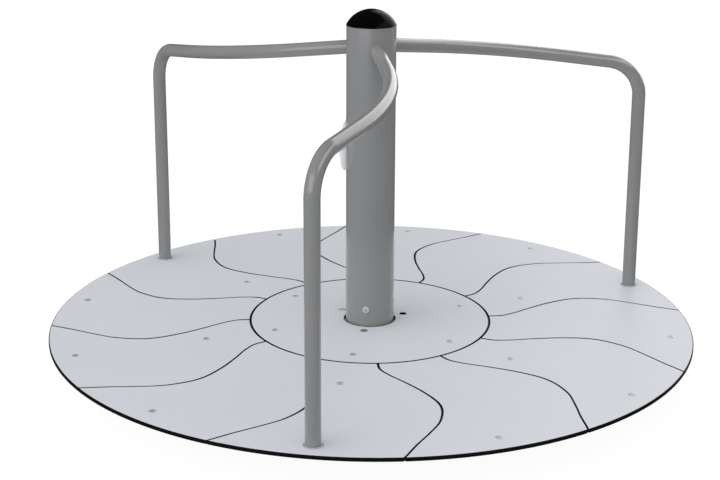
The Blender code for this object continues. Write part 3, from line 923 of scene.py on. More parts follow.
def seam_lip(angle, side, end, gap=SEAM_GAP):
    """One lip of a seam, from the disc out to the radius end, half the gap to that side of its middle."""
    lip = []
    for i in range(SEAM_SAMPLES):
        radius = BOARD_INNER + (end - BOARD_INNER) * i / (SEAM_SAMPLES - 1)
        middle = polar(radius, angle + seam_swing(radius))
        nearer = polar(radius - SLOPE_STEP, angle + seam_swing(radius - SLOPE_STEP))
        along = (middle - nearer).normalized()
        across = Vector((-along.y, along.x, 0.0)) * side
        lip.append((middle + across * gap / 2).normalized() * radius)
    return lip


print(f"seam gap {SEAM_GAP * 1000:.1f} mm, {SEAM_SAMPLES} points along each lip")

# %% [markdown]
# ## Where the screws sit
# The photo shows three rings of low round screw heads. They sit over the steel rings of the frame: nine
# near the rim, where the three rail feet take the places of the others, six in the middle of the boards and
# six in the centre disc. The boards are drilled for them first.

# %% Screw places
SCREW_HOLE_RADIUS = 0.0048
HOLE_STEPS = 48
OUTER_CIRCLE, MID_CIRCLE, DISC_CIRCLE = 0.984, 0.562, 0.331
LEG_CIRCLE = 0.9865
ARM_AZIMUTHS = [30.0 + 60.0 * i for i in range(6)]
OUTER_SCREWS = [(OUTER_CIRCLE, BOARD_PITCH * i) for i in range(12) if BOARD_PITCH * i not in RAIL_AZIMUTHS]
MID_SCREWS = [(MID_CIRCLE, azimuth) for azimuth in ARM_AZIMUTHS]
DISC_SCREWS = [(DISC_CIRCLE, azimuth) for azimuth in ARM_AZIMUTHS]
print("screws in the deck:", len(OUTER_SCREWS) + len(MID_SCREWS) + len(DISC_SCREWS))

# %% [markdown]
# ## The deck boards
# Each board is one outline: a seam lip, a stretch of the rim, the other lip and a stretch round the disc.
# Holes are further outlines in the same curve. The rim is where feet and hands meet the deck, so a router
# rounds it over, above and below. The path that the router's bit sweeps is a turned ring, and a Boolean
# takes it away. Then the flat faces get the pale laminate, and the sides and rounded edges the black core,
# as a cut shows it. A Weighted Normal modifier keeps the wide flat face flat in the shading, right up to
# its tiny bevel.

# %% The router's path
RIM_ROUND = 0.0032
RIM_ALLOWANCE = 0.004
RIM_ROUND_STEPS = 6
ROUTER_STEPS = 720


def router_path():
    """What a rounding-over bit takes off the rim, as a ring all round the deck."""
    deck = [(DECK_RADIUS, DECK_UNDER, RIM_ROUND), (DECK_RADIUS, DECK_TOP, RIM_ROUND),
            (0.0, DECK_TOP, 0.0), (0.0, DECK_UNDER, 0.0)]
    rim = rounded(deck, RIM_ROUND_STEPS)[:-2]
    far, above, below = DECK_RADIUS + 2 * RIM_ALLOWANCE, DECK_TOP + RIM_ALLOWANCE, DECK_UNDER - RIM_ALLOWANCE
    profile = [*rim, (rim[-1][0], above), (far, above), (far, below), (rim[0][0], below)]
    return turned("router_path", profile, ROUTER_STEPS)


ROUTER_PATH = router_path()
print("faces in the router's path:", len(ROUTER_PATH.polygons))

# %% Deck boards
ARRIS = 0.0010
RIM_STEPS = 40
LEVEL = 0.999
SLEEVE_PLAY = 0.0003


def arc(start, end, steps):
    """Points between two points at the same radius, the short way round, both ends left out."""
    turn = math.remainder(math.atan2(end.y, end.x) - math.atan2(start.y, start.x), math.tau)
    return [Matrix.Rotation(turn * i / steps, 3, "Z") @ start for i in range(1, steps)]


def show_core(mesh):
    """Slot 0, the laminate, on the flat faces, and slot 1, the core, on all the others."""
    for face in mesh.polygons:
        face.material_index = 0 if abs(face.normal.z) > LEVEL else 1


def keep_flat(piece):
    """Let the large faces rule the shading, so that a bevel doesn't darken the flat face beside it."""
    even = piece.modifiers.new("Even shading", "WEIGHTED_NORMAL")
    even.keep_sharp = True
    even.weight = 100


def deck_board(index):
    mark = BOARD_PITCH * index
    right = seam_lip(mark + SEAM_INNER_ANGLE - BOARD_PITCH, 1, DECK_RADIUS + RIM_ALLOWANCE)
    left = seam_lip(mark + SEAM_INNER_ANGLE, -1, DECK_RADIUS + RIM_ALLOWANCE)[::-1]
    outline = right + arc(right[-1], left[0], RIM_STEPS) + left + arc(left[-1], right[0], RIM_STEPS // 2)
    holes = [polar(*place) for place in OUTER_SCREWS + MID_SCREWS if place[1] == mark]
    loops = [outline] + [circle(SCREW_HOLE_RADIUS, HOLE_STEPS, hole) for hole in holes]
    if mark in RAIL_AZIMUTHS:
        sleeve = radii("rail_collar_1", polar(LEG_CIRCLE, RAIL_AZIMUTHS[0]))[1]
        loops.append(circle(sleeve + SLEEVE_PLAY, HOLE_STEPS, polar(LEG_CIRCLE, mark)))
    blank = flat_board(f"deck_board_{index + 1:02d}", loops, DECK_UNDER, DECK_TOP, ARRIS)
    mesh = combine(blank, ROUTER_PATH, "DIFFERENCE")
    board = put(mesh.name, mesh, "deck_laminate", "deck_laminate", "laminate_core")
    show_core(mesh)
    keep_flat(board)
    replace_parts(board, f"deck_panel_{index + 1:02d}")
    return board


boards = [deck_board(index) for index in range(12)]
print("boards:", len(boards), "faces in the first:", len(boards[0].data.polygons))

# %% [markdown]
# ## Shade tongues in the seams
# Deep in each seam all is black out to the rim, so nothing is seen through the gap. Real decks have a loose
# tongue there, a strip of the same black laminate that sits in grooves in both boards. It keeps them level
# and keeps toes out. Here the strip is also painted shade: it is put in to stop light under each gap, so
# that the seams read dark. Only the middle of the tongue shows, so a strip as wide as the gap will do. One
# follows each seam, and a ring goes round the centre disc.

# %% Shade tongues
SHADE_TONGUE_TOP = DECK_TOP - 0.0040
SHADE_TONGUE_BOTTOM = DECK_UNDER + 0.0030
SHADE_TONGUE_GAP = 0.0001
SHADE_TONGUE_SHORT = 0.0006
SHADE_TONGUE_ARRIS = 0.0003
DISC_STEPS = 240


def shade_tongue_outline(angle):
    gap, end = SEAM_GAP - 2 * SHADE_TONGUE_GAP, DECK_RADIUS - SHADE_TONGUE_SHORT
    return seam_lip(angle, -1, end, gap) + seam_lip(angle, 1, end, gap)[::-1]


def disc_shade_tongue():
    outer, inner = BOARD_INNER - SHADE_TONGUE_GAP, DISC_RADIUS + SHADE_TONGUE_GAP
    profile = [(outer, SHADE_TONGUE_TOP), (outer, SHADE_TONGUE_BOTTOM), (inner, SHADE_TONGUE_BOTTOM), (inner, SHADE_TONGUE_TOP)]
    return turned("disc_shade_tongue", profile, DISC_STEPS)


# The strips stop light under the seams: painted shade that keeps the gaps dark.
outline = shade_tongue_outline(SEAM_INNER_ANGLE)
strip = flat_board("seam_shade_tongue", [outline], SHADE_TONGUE_BOTTOM, SHADE_TONGUE_TOP, SHADE_TONGUE_ARRIS, arris_steps=1)
turns = [turn_about_z(BOARD_PITCH * index) for index in range(12)]
put("seam_shade_tongues", copies("seam_shade_tongues", strip, turns), "deck_laminate", "laminate_core")
put("disc_shade_tongue", disc_shade_tongue(), "deck_laminate", "laminate_core")
print("tongues:", len(turns), "and one round the disc")

# %% [markdown]
# ## The centre disc
# The disc is one more board, with the large hole for the post, six screw holes and three small access holes
# beside the post. Through those a key reaches the bolts of the hub. One is open, and it stays open here. Two
# are plugged with the same kind of plug, one painted pale and one dark grey: the two tones are painted
# reflections of the white surroundings and of the dark post.

# %% Centre disc
ACCESS_CIRCLE = 0.120
ACCESS_RADIUS = 0.0113
POST_HOLE_STEPS = 120


def centre_disc():
    loops = [circle(DISC_RADIUS, DISC_STEPS), circle(POST_HOLE_RADIUS, POST_HOLE_STEPS)]
    loops += [circle(SCREW_HOLE_RADIUS, HOLE_STEPS, polar(*place)) for place in DISC_SCREWS]
    loops += [circle(ACCESS_RADIUS, HOLE_STEPS, polar(ACCESS_CIRCLE, azimuth)) for azimuth in RAIL_AZIMUTHS]
    mesh = flat_board("centre_board", loops, DECK_UNDER, DECK_TOP, ARRIS)
    disc = put("centre_board", mesh, "deck_laminate", "deck_laminate", "laminate_core")
    show_core(mesh)
    keep_flat(disc)
    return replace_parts(disc, "centre_disc")


disc = centre_disc()
print("disc faces:", len(disc.data.polygons))

# %% Plugs in two of the access holes
PALE_HOLE, GREY_HOLE = RAIL_AZIMUTHS[1:]
PLUG_PLAY = 0.0003
PLUG_STEM_PLAY = 0.0016
PLUG_SUNK = 0.0004
PLUG_SHOULDER = 0.0028
PLUG_DEPTH = 0.009
PLUG_HEAD_ROUND = 0.0008
PLUG_STEM_ROUND = 0.0006


def access_plug(name, azimuth, slot, finish):
    """A push-in plug: a flat head with a soft edge and a short stem."""
    head, stem = ACCESS_RADIUS - PLUG_PLAY, ACCESS_RADIUS - PLUG_STEM_PLAY
    profile = rounded([
        (0.0, -PLUG_SUNK, 0.0), (head, -PLUG_SUNK, PLUG_HEAD_ROUND), (head, -PLUG_SHOULDER, 0.0),
        (stem, -PLUG_SHOULDER, 0.0), (stem, -PLUG_DEPTH, PLUG_STEM_ROUND), (0.0, -PLUG_DEPTH, 0.0)])
    mesh = turned(name, profile, steps=40, closed=False)
    mesh.transform(Matrix.Translation(polar(ACCESS_CIRCLE, azimuth, DECK_TOP)))
    return put(name, mesh, slot, finish)


# One kind of plug in both holes: the pale and the dark grey tones are painted reflections.
access_plug("access_plug_pale", PALE_HOLE, "deck_laminate", "plug_pale_painted_reflection")
access_plug("access_plug_grey", GREY_HOLE, "collar_rubber", "plug_dark_painted_reflection")
print("plugs at", PALE_HOLE, "and", GREY_HOLE, "degrees")

# %% [markdown]
# ## Screws
# A deck screw has a low round head, only two and a half millimetres high, so children don't trip on it.
# From the side it is a soft pale dot with a dark middle. That middle is its drive, a six-sided socket with
# a pin in it, which an ordinary key doesn't fit. The head is a turned profile, an ellipse that begins at a
# small flat, and the same pattern at another size serves for the bolts on the post. Every screw is a copy
# at a chance angle.

# %% Screw pattern
SOCKET_RADIUS = 0.0040
SOCKET_DEPTH = 0.0032
PIN_RADIUS = 0.0012
PIN_ROOT = 0.0005
PIN_BELOW_TOP = 0.0006
HEAD_FLAT_SHARE = 0.45
HEAD_LIP = 0.0006
HEAD_TUCK = 0.0002
HEAD_ARC_STEPS = 12


def cut_socket(mesh, top):
    """Sink a six-sided socket with a pin into a screw's head."""
    floor = top - SOCKET_DEPTH
    socket = prism("socket", sides=6, radius=SOCKET_RADIUS, low=floor, high=top + SOCKET_DEPTH)
    pin = prism("pin", sides=16, radius=PIN_RADIUS, low=floor - PIN_ROOT, high=top - PIN_BELOW_TOP)
    return combine(combine(mesh, socket, "DIFFERENCE"), pin, "UNION")


def button_screw(name, radius, height, shank, length, seat):
    """A round-headed screw on a surface at height 0. Its head's underside is at the height seat."""
    flat = radius * HEAD_FLAT_SHARE
    profile = [(0.0, height), (flat, height)]
    for i in range(1, HEAD_ARC_STEPS + 1):
        angle = math.radians(90.0 * i / HEAD_ARC_STEPS)
        profile.append((flat + (radius - flat) * math.sin(angle),
                        HEAD_LIP + (height - HEAD_LIP) * math.cos(angle)))
    profile += [(radius - HEAD_TUCK, seat), (shank, seat), (shank, -length), (0.0, -length)]
    return cut_socket(turned(name, profile, steps=48, closed=False), height)


DECK_SCREW = button_screw("deck_screw", radius=0.0111, height=0.0025, shank=0.0046, length=0.031,
                          seat=0.0001)
print("faces in a deck screw:", len(DECK_SCREW.polygons))

# %% Deck screws in their places
chance = random.Random(5)


def chance_turn():
    """A six-sided drive looks the same after 60 degrees, so a turn within that is any turn."""
    return turn_about_z(chance.uniform(0.0, 60.0))


def chance_places(places, height):
    return [Matrix.Translation(polar(*place, height)) @ chance_turn() for place in places]


SCREW_RINGS = {"outer_screws": OUTER_SCREWS, "mid_screws": MID_SCREWS, "disc_screws": DISC_SCREWS}
for name, places in SCREW_RINGS.items():
    screws = copies(name, DECK_SCREW, chance_places(places, DECK_TOP))
    put(name, screws, "galvanised_steel", "screw_steel")
    print(name, len(places))

# %% [markdown]
# ## The post
# The post is a steel tube, 159 mm across. A turned profile with a small round at its rim is enough, but it
# needs many steps round: on a satin cylinder the eye reads every flat as a stripe.

# %% Post
POST_STEPS = 160
POST_RIM_OUTER_ROUND = 0.0012
POST_RIM_INNER_ROUND = 0.0008


def post_tube():
    profile = rounded([
        (POST_RADIUS, POST_RIM, POST_RIM_OUTER_ROUND), (POST_RADIUS, POST_FOOT, 0.0),
        (POST_BORE, POST_FOOT, 0.0), (POST_BORE, POST_RIM, POST_RIM_INNER_ROUND)])
    mesh = turned("post_tube", profile, POST_STEPS)
    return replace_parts(put("post_tube", mesh, "grey_paint"), "centre_post")


post_tube()
print(f"post from {POST_FOOT:.4f} to {POST_RIM:.4f} m")

# %% [markdown]
# ## The domed cap
# A moulded cap closes the post against rain. Its dome is part of a sphere, and its rim stands over the tube
# by less than a millimetre, so the joint throws a thin dark line. Below the rim a ribbed plug grips the
# bore.

# %% Cap
CAP_OVERHANG = 0.0008
CAP_LIP = 0.0016
CAP_JOINT = 0.0002
CAP_ARRIS = 0.0003
CAP_PLUG_PLAY = 0.0004
DOME_STEPS = 28
RIB_PITCH = 0.008
RIB_DEPTH = 0.0015
CAP_SHARP_ANGLE = 30.0


def dome_profile(edge, seat, high):
    """From the crown down to the lip, along the sphere that has the right width and rise."""
    rise = high - seat - CAP_LIP
    sphere = (edge ** 2 + rise ** 2) / (2 * rise)
    spread = math.asin(edge / sphere)
    angles = [spread * i / DOME_STEPS for i in range(DOME_STEPS + 1)]
    return [(sphere * math.sin(angle), high - sphere * (1 - math.cos(angle))) for angle in angles]


def plug_profile(plug, seat, low):
    """Down the ribbed plug: each rib stands out by the depth, half a pitch high."""
    profile = [(plug, seat)]
    height = seat - RIB_PITCH / 2
    while height > low + RIB_PITCH:
        middle = height - RIB_PITCH / 2
        profile += [(plug - RIB_DEPTH, height), (plug - RIB_DEPTH, middle), (plug, middle)]
        height -= RIB_PITCH
        profile.append((plug, height))
    return profile + [(plug - RIB_DEPTH, low), (0.0, low)]


def domed_cap():
    low, high = heights("post_cap")
    edge, seat = POST_RADIUS + CAP_OVERHANG, POST_RIM + CAP_JOINT
    rim = [(edge, seat + CAP_ARRIS), (edge - CAP_ARRIS, seat)]
    profile = dome_profile(edge, seat, high) + rim + plug_profile(POST_BORE - CAP_PLUG_PLAY, seat, low)
    mesh = turned("domed_cap", profile, POST_STEPS, closed=False, sharp=CAP_SHARP_ANGLE)
    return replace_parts(put("domed_cap", mesh, "black_plastic"), "post_cap")


cap = domed_cap()
print("cap faces:", len(cap.data.polygons))

# %% [markdown]
# ## Bolts at the foot of the post
# Just above the deck a round-headed bolt holds the post on the hub's neck. The photo shows one, and two
# more are taken to sit at the other rails. The pattern of the deck screws, with a higher head, is laid over,
# and then turned about Z so that it points out of the post.

# %% Post bolts
BOLT_ABOVE_DECK = 0.057
BUTTON_BOLT = button_screw("button_bolt", radius=0.0130, height=0.0064, shank=0.0050, length=0.0046,
                           seat=-0.0030)


def out_of_post(azimuth, height, reach=POST_RADIUS):
    """Lay a piece that points up so that it points out of the post's side."""
    return Matrix.Translation(polar(reach, azimuth, height)) @ turn_about_z(azimuth) @ LAID_OVER


places = [out_of_post(azimuth, DECK_TOP + BOLT_ABOVE_DECK) for azimuth in RAIL_AZIMUTHS]
put("post_bolts", copies("post_bolts", BUTTON_BOLT, places), "galvanised_steel", "screw_steel")
print("post bolts:", len(places))

# %% [markdown]
# ## The round plate
# A pale disc stands upright on the far left of the post, and only a crescent of it shows. It is plain, with
# a softly rounded edge. Two small bolts on the line where it touches the post hold it.

# %% Plate on the post
PLATE_AZIMUTH = 174.0
PLATE_THICKNESS = 0.002
PLATE_FRONT_ROUND = 0.0008
PLATE_BACK_ROUND = 0.0005
PLATE_OFF_POST = 0.0003
PLATE_BOLT_SPACING = 0.100
PLATE_BOLT_SHARE = 0.7


def round_plate():
    low, high = heights("post_plate")
    radius, half = (high - low) / 2, PLATE_THICKNESS / 2
    profile = rounded([(0.0, half, 0.0), (radius, half, PLATE_FRONT_ROUND),
                       (radius, -half, PLATE_BACK_ROUND), (0.0, -half, 0.0)], steps=5)
    mesh = turned("round_plate", profile, steps=96, closed=False)
    mesh.transform(out_of_post(PLATE_AZIMUTH, (low + high) / 2, POST_RADIUS + PLATE_OFF_POST + half))
    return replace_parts(put("round_plate", mesh, "pale_plate"), "post_plate")


def plate_bolts():
    middle, face = sum(heights("post_plate")) / 2, POST_RADIUS + PLATE_THICKNESS
    spots = [middle + side * PLATE_BOLT_SPACING / 2 for side in (-1, 1)]
    smaller = Matrix.Scale(PLATE_BOLT_SHARE, 4)
    places = [out_of_post(PLATE_AZIMUTH, spot, face) @ smaller for spot in spots]
    put("plate_bolts", copies("plate_bolts", BUTTON_BOLT, places), "galvanised_steel", "screw_steel")


plate = round_plate()
plate_bolts()
print("plate faces:", len(plate.data.polygons))

# %% [markdown]
# ## The handrails
# A handrail is one length of 45 mm tube. It leaves the post in a straight, sweeps round in plan, falls
# steadily on its way out, and turns down into a straight leg. The path is worked out from those few facts,
# as a tube bender's sheet would give them, and sampled finely. The end runs a few millimetres into the
# post's wall, where the weld hides it.

# %% Path of a handrail
ROOT_AZIMUTH = 22.8
ROOT_HEADING = 18.05
ROOT_STRAIGHT = 0.170
SWEEP_RADIUS = 0.813
ROOT_HEIGHT = DECK_TOP + 0.911
CORNER_HEIGHT = DECK_TOP + 0.793
CORNER_RADIUS = 0.121
SWEEP_STEPS = 48
CORNER_STEPS = 32
ROOT_SINK = 0.0045
LEG_END_GAP = 0.0003
TUBE_RADIUS = 0.0225


def rail_plan(leg):
    """The path as seen from above, up to where the sweep ends and runs straight on to the leg."""
    heading = polar(1.0, ROOT_HEADING)
    root = polar(POST_RADIUS, ROOT_AZIMUTH)
    sweep_start = root + heading * ROOT_STRAIGHT
    centre = sweep_start + Vector((heading.y, -heading.x, 0.0)) * SWEEP_RADIUS
    reach = leg - centre
    leave = math.atan2(reach.y, reach.x) + math.acos(SWEEP_RADIUS / reach.length)
    enter = math.radians(ROOT_HEADING + 90.0)
    plan = [root]
    for i in range(SWEEP_STEPS + 1):
        angle = enter + (leave - enter) * i / SWEEP_STEPS
        plan.append(centre + Vector((math.cos(angle), math.sin(angle), 0.0)) * SWEEP_RADIUS)
    return plan


def top_bend(arrive, corner):
    """The bend in which the rail turns down into its leg."""
    turn = arrive.angle(-UP)
    inward = (-UP + arrive * arrive.dot(UP)).normalized()
    middle = corner - arrive * CORNER_RADIUS * math.tan(turn / 2) + inward * CORNER_RADIUS
    bend = []
    for i in range(CORNER_STEPS + 1):
        angle = turn * i / CORNER_STEPS
        bend.append(middle + (arrive * math.sin(angle) - inward * math.cos(angle)) * CORNER_RADIUS)
    return bend


def rail_path():
    """Middle line of a handrail whose leg is on +X, and the direction in which it leaves the post."""
    leg = Vector((LEG_CIRCLE, 0.0, 0.0))
    plan = rail_plan(leg)
    runs = [0.0]
    for before, after in zip(plan, plan[1:] + [leg]):
        runs.append(runs[-1] + (after - before).length)
    fall = (ROOT_HEIGHT - CORNER_HEIGHT) / runs[-1]
    path = [point + UP * (ROOT_HEIGHT - fall * run) for point, run in zip(plan, runs)]
    leaving = (path[1] - path[0]).normalized()
    path[0] -= leaving * ROOT_SINK
    corner = leg + UP * CORNER_HEIGHT
    path += top_bend((corner - path[-1]).normalized(), corner)
    path.append(leg + UP * (RING_TOP + LEG_END_GAP))
    return path, leaving


RAIL_PATH, RAIL_LEAVING = rail_path()
rail_length = sum((after - before).length for before, after in zip(RAIL_PATH, RAIL_PATH[1:]))
print(f"each handrail is {rail_length:.3f} m of tube")

# %% Handrails
RAIL_TUBE = tube("rail_tube", RAIL_PATH, TUBE_RADIUS)
for index, azimuth in enumerate(RAIL_AZIMUTHS):
    rail = put(f"rail_tube_{index + 1}", RAIL_TUBE, "grey_paint")
    rail.rotation_euler.z = math.radians(azimuth)
    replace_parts(rail, f"handrail_{index + 1}")
    print(f"rail {index + 1}: CAD top {heights(f'handrail_{index + 1}')[1]:.4f} m")

# %% [markdown]
# ## Welds at the roots
# Each rail is welded to the post all round. The bead lies on the line where the two round surfaces cross, a
# saddle-shaped loop. For each direction round the tube, a quadratic gives the point where a line along the
# tube meets the post. A small round section is swept along those points, and its size pulses a little, as a
# welder's steps leave it. It is painted with the rest.

# %% Weld beads
BEAD_RADIUS = 0.0021
BEAD_STEPS = 144
BEAD_SIDES = 10
BEAD_RIPPLES = 36
BEAD_PULSE = 0.10
BEAD_SHARP_ANGLE = 80.0


def bead_size(radius, ripple):
    """The radius of a bead where its ripple has come to an angle."""
    return radius * (1.0 + BEAD_PULSE * math.cos(ripple))


def bead_row(middle, across, up, size):
    """The points round one section of a bead."""
    turns = [math.tau * k / BEAD_SIDES for k in range(BEAD_SIDES)]
    return [middle + across * size * math.cos(turn) + up * size * math.sin(turn) for turn in turns]


def bead_skin(name, rows, looped):
    """A skin over the sections of a bead. A looped bead joins its last section to the first."""
    shape = bmesh.new()
    grid = [[shape.verts.new(point) for point in row] for row in rows]
    for row, after in zip(grid, grid[1:] + (grid[:1] if looped else [])):
        for i in range(BEAD_SIDES):
            k = (i + 1) % BEAD_SIDES
            shape.faces.new((row[i], row[k], after[k], after[i]))
    return mesh_from(shape, name, BEAD_SHARP_ANGLE)


def weld_bead():
    root = polar(POST_RADIUS, ROOT_AZIMUTH, ROOT_HEIGHT)
    side = RAIL_LEAVING.cross(UP).normalized()
    over = side.cross(RAIL_LEAVING)
    rows = []
    for i in range(BEAD_STEPS):
        angle = math.tau * i / BEAD_STEPS
        outward = side * math.cos(angle) + over * math.sin(angle)
        start = root + outward * TUBE_RADIUS
        a = RAIL_LEAVING.xy.length_squared
        b = start.xy.dot(RAIL_LEAVING.xy)
        c = start.xy.length_squared - POST_RADIUS ** 2
        point = start + RAIL_LEAVING * (math.sqrt(b * b - a * c) - b) / a
        off_post = Vector((point.x, point.y, 0.0)).normalized()
        rows.append(bead_row(point, off_post, outward, bead_size(BEAD_RADIUS, BEAD_RIPPLES * angle)))
    return bead_skin("root_weld", rows, looped=True)


ROOT_WELD = weld_bead()
for index, azimuth in enumerate(RAIL_AZIMUTHS):
    bead = put(f"root_weld_{index + 1}", ROOT_WELD, "grey_paint")
    bead.rotation_euler.z = math.radians(azimuth)
print("weld beads:", len(RAIL_AZIMUTHS))

# %% [markdown]
# ## Collars at the feet
# Where a leg goes through the deck, a rubber collar fills the hole. Only its lip shows, two millimetres
# proud and rounded over, with a thin gap to the tube.

# %% Rail collars
COLLAR_LIP_ROUND = 0.0018
COLLAR_MOUTH_ROUND = 0.0008


def rail_collar(index, azimuth):
    node = f"rail_collar_{index + 1}"
    centre = polar(LEG_CIRCLE, azimuth)
    (inner, outer), (low, high) = radii(node, centre), heights(node)
    profile = rounded([(outer, high, COLLAR_LIP_ROUND), (outer, low, 0.0),
                       (inner, low, 0.0), (inner, high, COLLAR_MOUTH_ROUND)], steps=5)
    mesh = turned(f"foot_collar_{index + 1}", profile, steps=64)
    mesh.transform(Matrix.Translation(centre))
    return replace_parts(put(mesh.name, mesh, "collar_rubber"), node)


collars = [rail_collar(index, azimuth) for index, azimuth in enumerate(RAIL_AZIMUTHS)]
print("collars:", len(collars))

# %% [markdown]
# ## The frame under the deck
# Three flat rings carry the boards, and six square tubes carry the rings. They show from low down, in the
# gap under the deck. The rings are turned with broken edges. An arm is a square tube with round corners:
# its outline and its bore are two loops of a flat board, which is then laid on its side. A black plug
# closes each outer end, so that no rain gets in.

# %% Rings
RINGS = ("outer_ring", "mid_ring", "inner_ring")
RING_CHAMFER = 0.0008


def steel_ring(node, name):
    (inner, outer), (low, high) = radii(node), heights(node)
    corners = [(outer, high), (outer, low), (inner, low), (inner, high)]
    profile = rounded([(*corner, RING_CHAMFER) for corner in corners], steps=2)
    mesh = turned(name, profile, steps=180)
    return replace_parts(put(name, mesh, "galvanised_steel"), node)


for node in RINGS:
    steel_ring(node, f"{node}_steel")
print("rings:", len(RINGS))

# %% Arms and their end plugs
ARM_WALL = 0.003
ARM_CORNER = 0.006
ARM_ARRIS = 0.0004
ARM_WIDTH = ARM_TOP - ARM_UNDER
ARM_START, ARM_END = radii("frame_arm_2")[0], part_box("frame_arm_2")[1].y
END_PLUG_HEAD = 0.003
END_PLUG_ROUND = 0.0010
END_PLUG_PLAY = 0.001


def square_outline(width, corner):
    half = width / 2
    return [Vector((x, y, 0.0)) for x, y in rounded(
        [(half, -half, corner), (half, half, corner), (-half, half, corner), (-half, -half, corner)])]


def arm_pieces(index, azimuth):
    lay = turn_about_z(azimuth) @ Matrix.Translation((0.0, 0.0, ARM_TOP - ARM_WIDTH / 2)) @ LAID_OVER
    name = f"arm_tube_{index + 1}"
    walls = [square_outline(ARM_WIDTH, ARM_CORNER),
             square_outline(ARM_WIDTH - 2 * ARM_WALL, ARM_CORNER - ARM_WALL)]
    mesh = flat_board(name, walls, ARM_START, ARM_END, ARM_ARRIS, arris_steps=1)
    mesh.transform(lay)
    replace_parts(put(name, mesh, "galvanised_steel"), f"frame_arm_{index + 1}")
    name = f"arm_plug_{index + 1}"
    head = square_outline(ARM_WIDTH - END_PLUG_PLAY, ARM_CORNER)
    mesh = flat_board(name, [head], ARM_END, ARM_END + END_PLUG_HEAD, END_PLUG_ROUND)
    mesh.transform(lay)
    put(name, mesh, "black_plastic")


for index, azimuth in enumerate(ARM_AZIMUTHS):
    arm_pieces(index, azimuth)
print(f"arms from {ARM_START:.3f} to {ARM_END:.3f} m")

# %% [markdown]
# ## Welds and nuts of the frame
# Each arm is welded to the rings above it, with a bead along both of its sides. The bead is a rod with
# rounded ends and the same pulse as the beads on the post. Under the outer ring, where the screws come
# through, sit washers and lock nuts.

# %% Frame welds
ROD_STEP = 0.0012
ROD_RIPPLE = 0.004
ROD_SHORT = 0.006
ROD_INTO_ARM = 0.0005
ROD_UNDER_RING = 0.001
ROD_LEAST_STEPS = 8
ROD_BLUNTNESS = 8


def rod_bead(length):
    """A straight bead along +X, centred on the origin. The higher the bluntness, the shorter its ends."""
    steps = max(ROD_LEAST_STEPS, round(length / ROD_STEP))
    rows = []
    for i in range(steps + 1):
        share = i / steps
        taper = math.sqrt(max(0.0, 1.0 - (2.0 * share - 1.0) ** ROD_BLUNTNESS))
        size = bead_size(BEAD_RADIUS * taper, math.tau * share * length / ROD_RIPPLE)
        middle, across = Vector(((share - 0.5) * length, 0.0, 0.0)), Vector((0.0, 1.0, 0.0))
        rows.append(bead_row(middle, across, UP, size))
    return bead_skin("rod_bead", rows, looped=False)


def frame_welds():
    parts = []
    for node in RINGS:
        inner, outer = radii(node)
        outer = min(outer, ARM_END)
        bead = rod_bead(outer - inner - ROD_SHORT)
        for azimuth in ARM_AZIMUTHS:
            for side in (-1, 1):
                beside = side * (ARM_WIDTH / 2 - ROD_INTO_ARM)
                spot = Vector(((inner + outer) / 2, beside, RING_UNDER - ROD_UNDER_RING))
                parts.append((bead, turn_about_z(azimuth) @ Matrix.Translation(spot)))
    mesh = joined("frame_welds", parts)
    return put("frame_welds", mesh, "galvanised_steel")


print("faces in the frame's welds:", len(frame_welds().data.polygons))

# %% Nuts under the outer ring
NUT_PLAY = 0.0001
WASHER_UNDER = 0.0019
WASHER_ROUND = 0.0003
NUT_UNDER = 0.0090
NUT_COLLAR_START = 0.0088
NUT_COLLAR_UNDER = 0.0112
NUT_COLLAR_ROUND = 0.0010
NUT_COLLAR_SHARE = 0.80


def nut_and_washer(bore, washer, nut):
    """A washer and a lock nut with its plastic collar, that hang below height 0. The sizes are radii."""
    flange = rounded([(washer, -NUT_PLAY, WASHER_ROUND), (washer, -WASHER_UNDER, WASHER_ROUND),
                      (bore, -WASHER_UNDER, 0.0), (bore, -NUT_PLAY, 0.0)])
    outer = nut * NUT_COLLAR_SHARE
    collar = rounded([(outer, -NUT_COLLAR_START, 0.0), (outer, -NUT_COLLAR_UNDER, NUT_COLLAR_ROUND),
                      (bore, -NUT_COLLAR_UNDER, 0.0), (bore, -NUT_COLLAR_START, 0.0)])
    parts = [turned("washer", flange, steps=32),
             prism("nut", sides=6, radius=nut, low=-NUT_UNDER, high=-WASHER_UNDER),
             turned("nut_collar", collar, steps=24)]
    return joined("nut_and_washer", [(part, Matrix.Identity(4)) for part in parts])


OUTER_NUT = nut_and_washer(bore=0.0046, washer=0.0110, nut=0.0078)
under_ring = chance_places(OUTER_SCREWS, RING_UNDER)
put("outer_nuts", copies("outer_nuts", OUTER_NUT, under_ring), "galvanised_steel", "screw_steel")
print("nuts:", len(under_ring))

# %% [markdown]
# ## Hub and base
# The hub turns on the fixed spindle, and a base plate holds the spindle on the ground. Both are heavy plate
# and bar with chamfered edges, and a shallow groove is turned round the middle of the hub's housing. The
# base plate is a board with round corners and four holes, and in each stands an anchor with its washer and
# nut. The pedestal is welded to the plate all round.

# %% Hub housing
HUB_UPPER_ROUND = 0.0008
HUB_LOWER_ROUND = 0.0025
HUB_BORE_ROUND = 0.0010
GROOVE_DEPTH = 0.002
GROOVE_MOUTH = 0.006
GROOVE_FLOOR = 0.004
GROOVE_ROUND = 0.0004


def hub_ring():
    (inner, outer), (low, high) = radii("hub_housing"), heights("hub_housing")
    middle, sunk = (low + high) / 2, outer - GROOVE_DEPTH
    profile = rounded([
        (outer, high, HUB_UPPER_ROUND),
        (outer, middle + GROOVE_MOUTH, GROOVE_ROUND), (sunk, middle + GROOVE_FLOOR, 0.0),
        (sunk, middle - GROOVE_FLOOR, 0.0), (outer, middle - GROOVE_MOUTH, GROOVE_ROUND),
        (outer, low, HUB_LOWER_ROUND), (inner, low, HUB_BORE_ROUND), (inner, high, 0.0)])
    mesh = turned("hub_ring", profile, steps=128)
    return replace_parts(put("hub_ring", mesh, "galvanised_steel"), "hub_housing")


print("hub faces:", len(hub_ring().data.polygons))

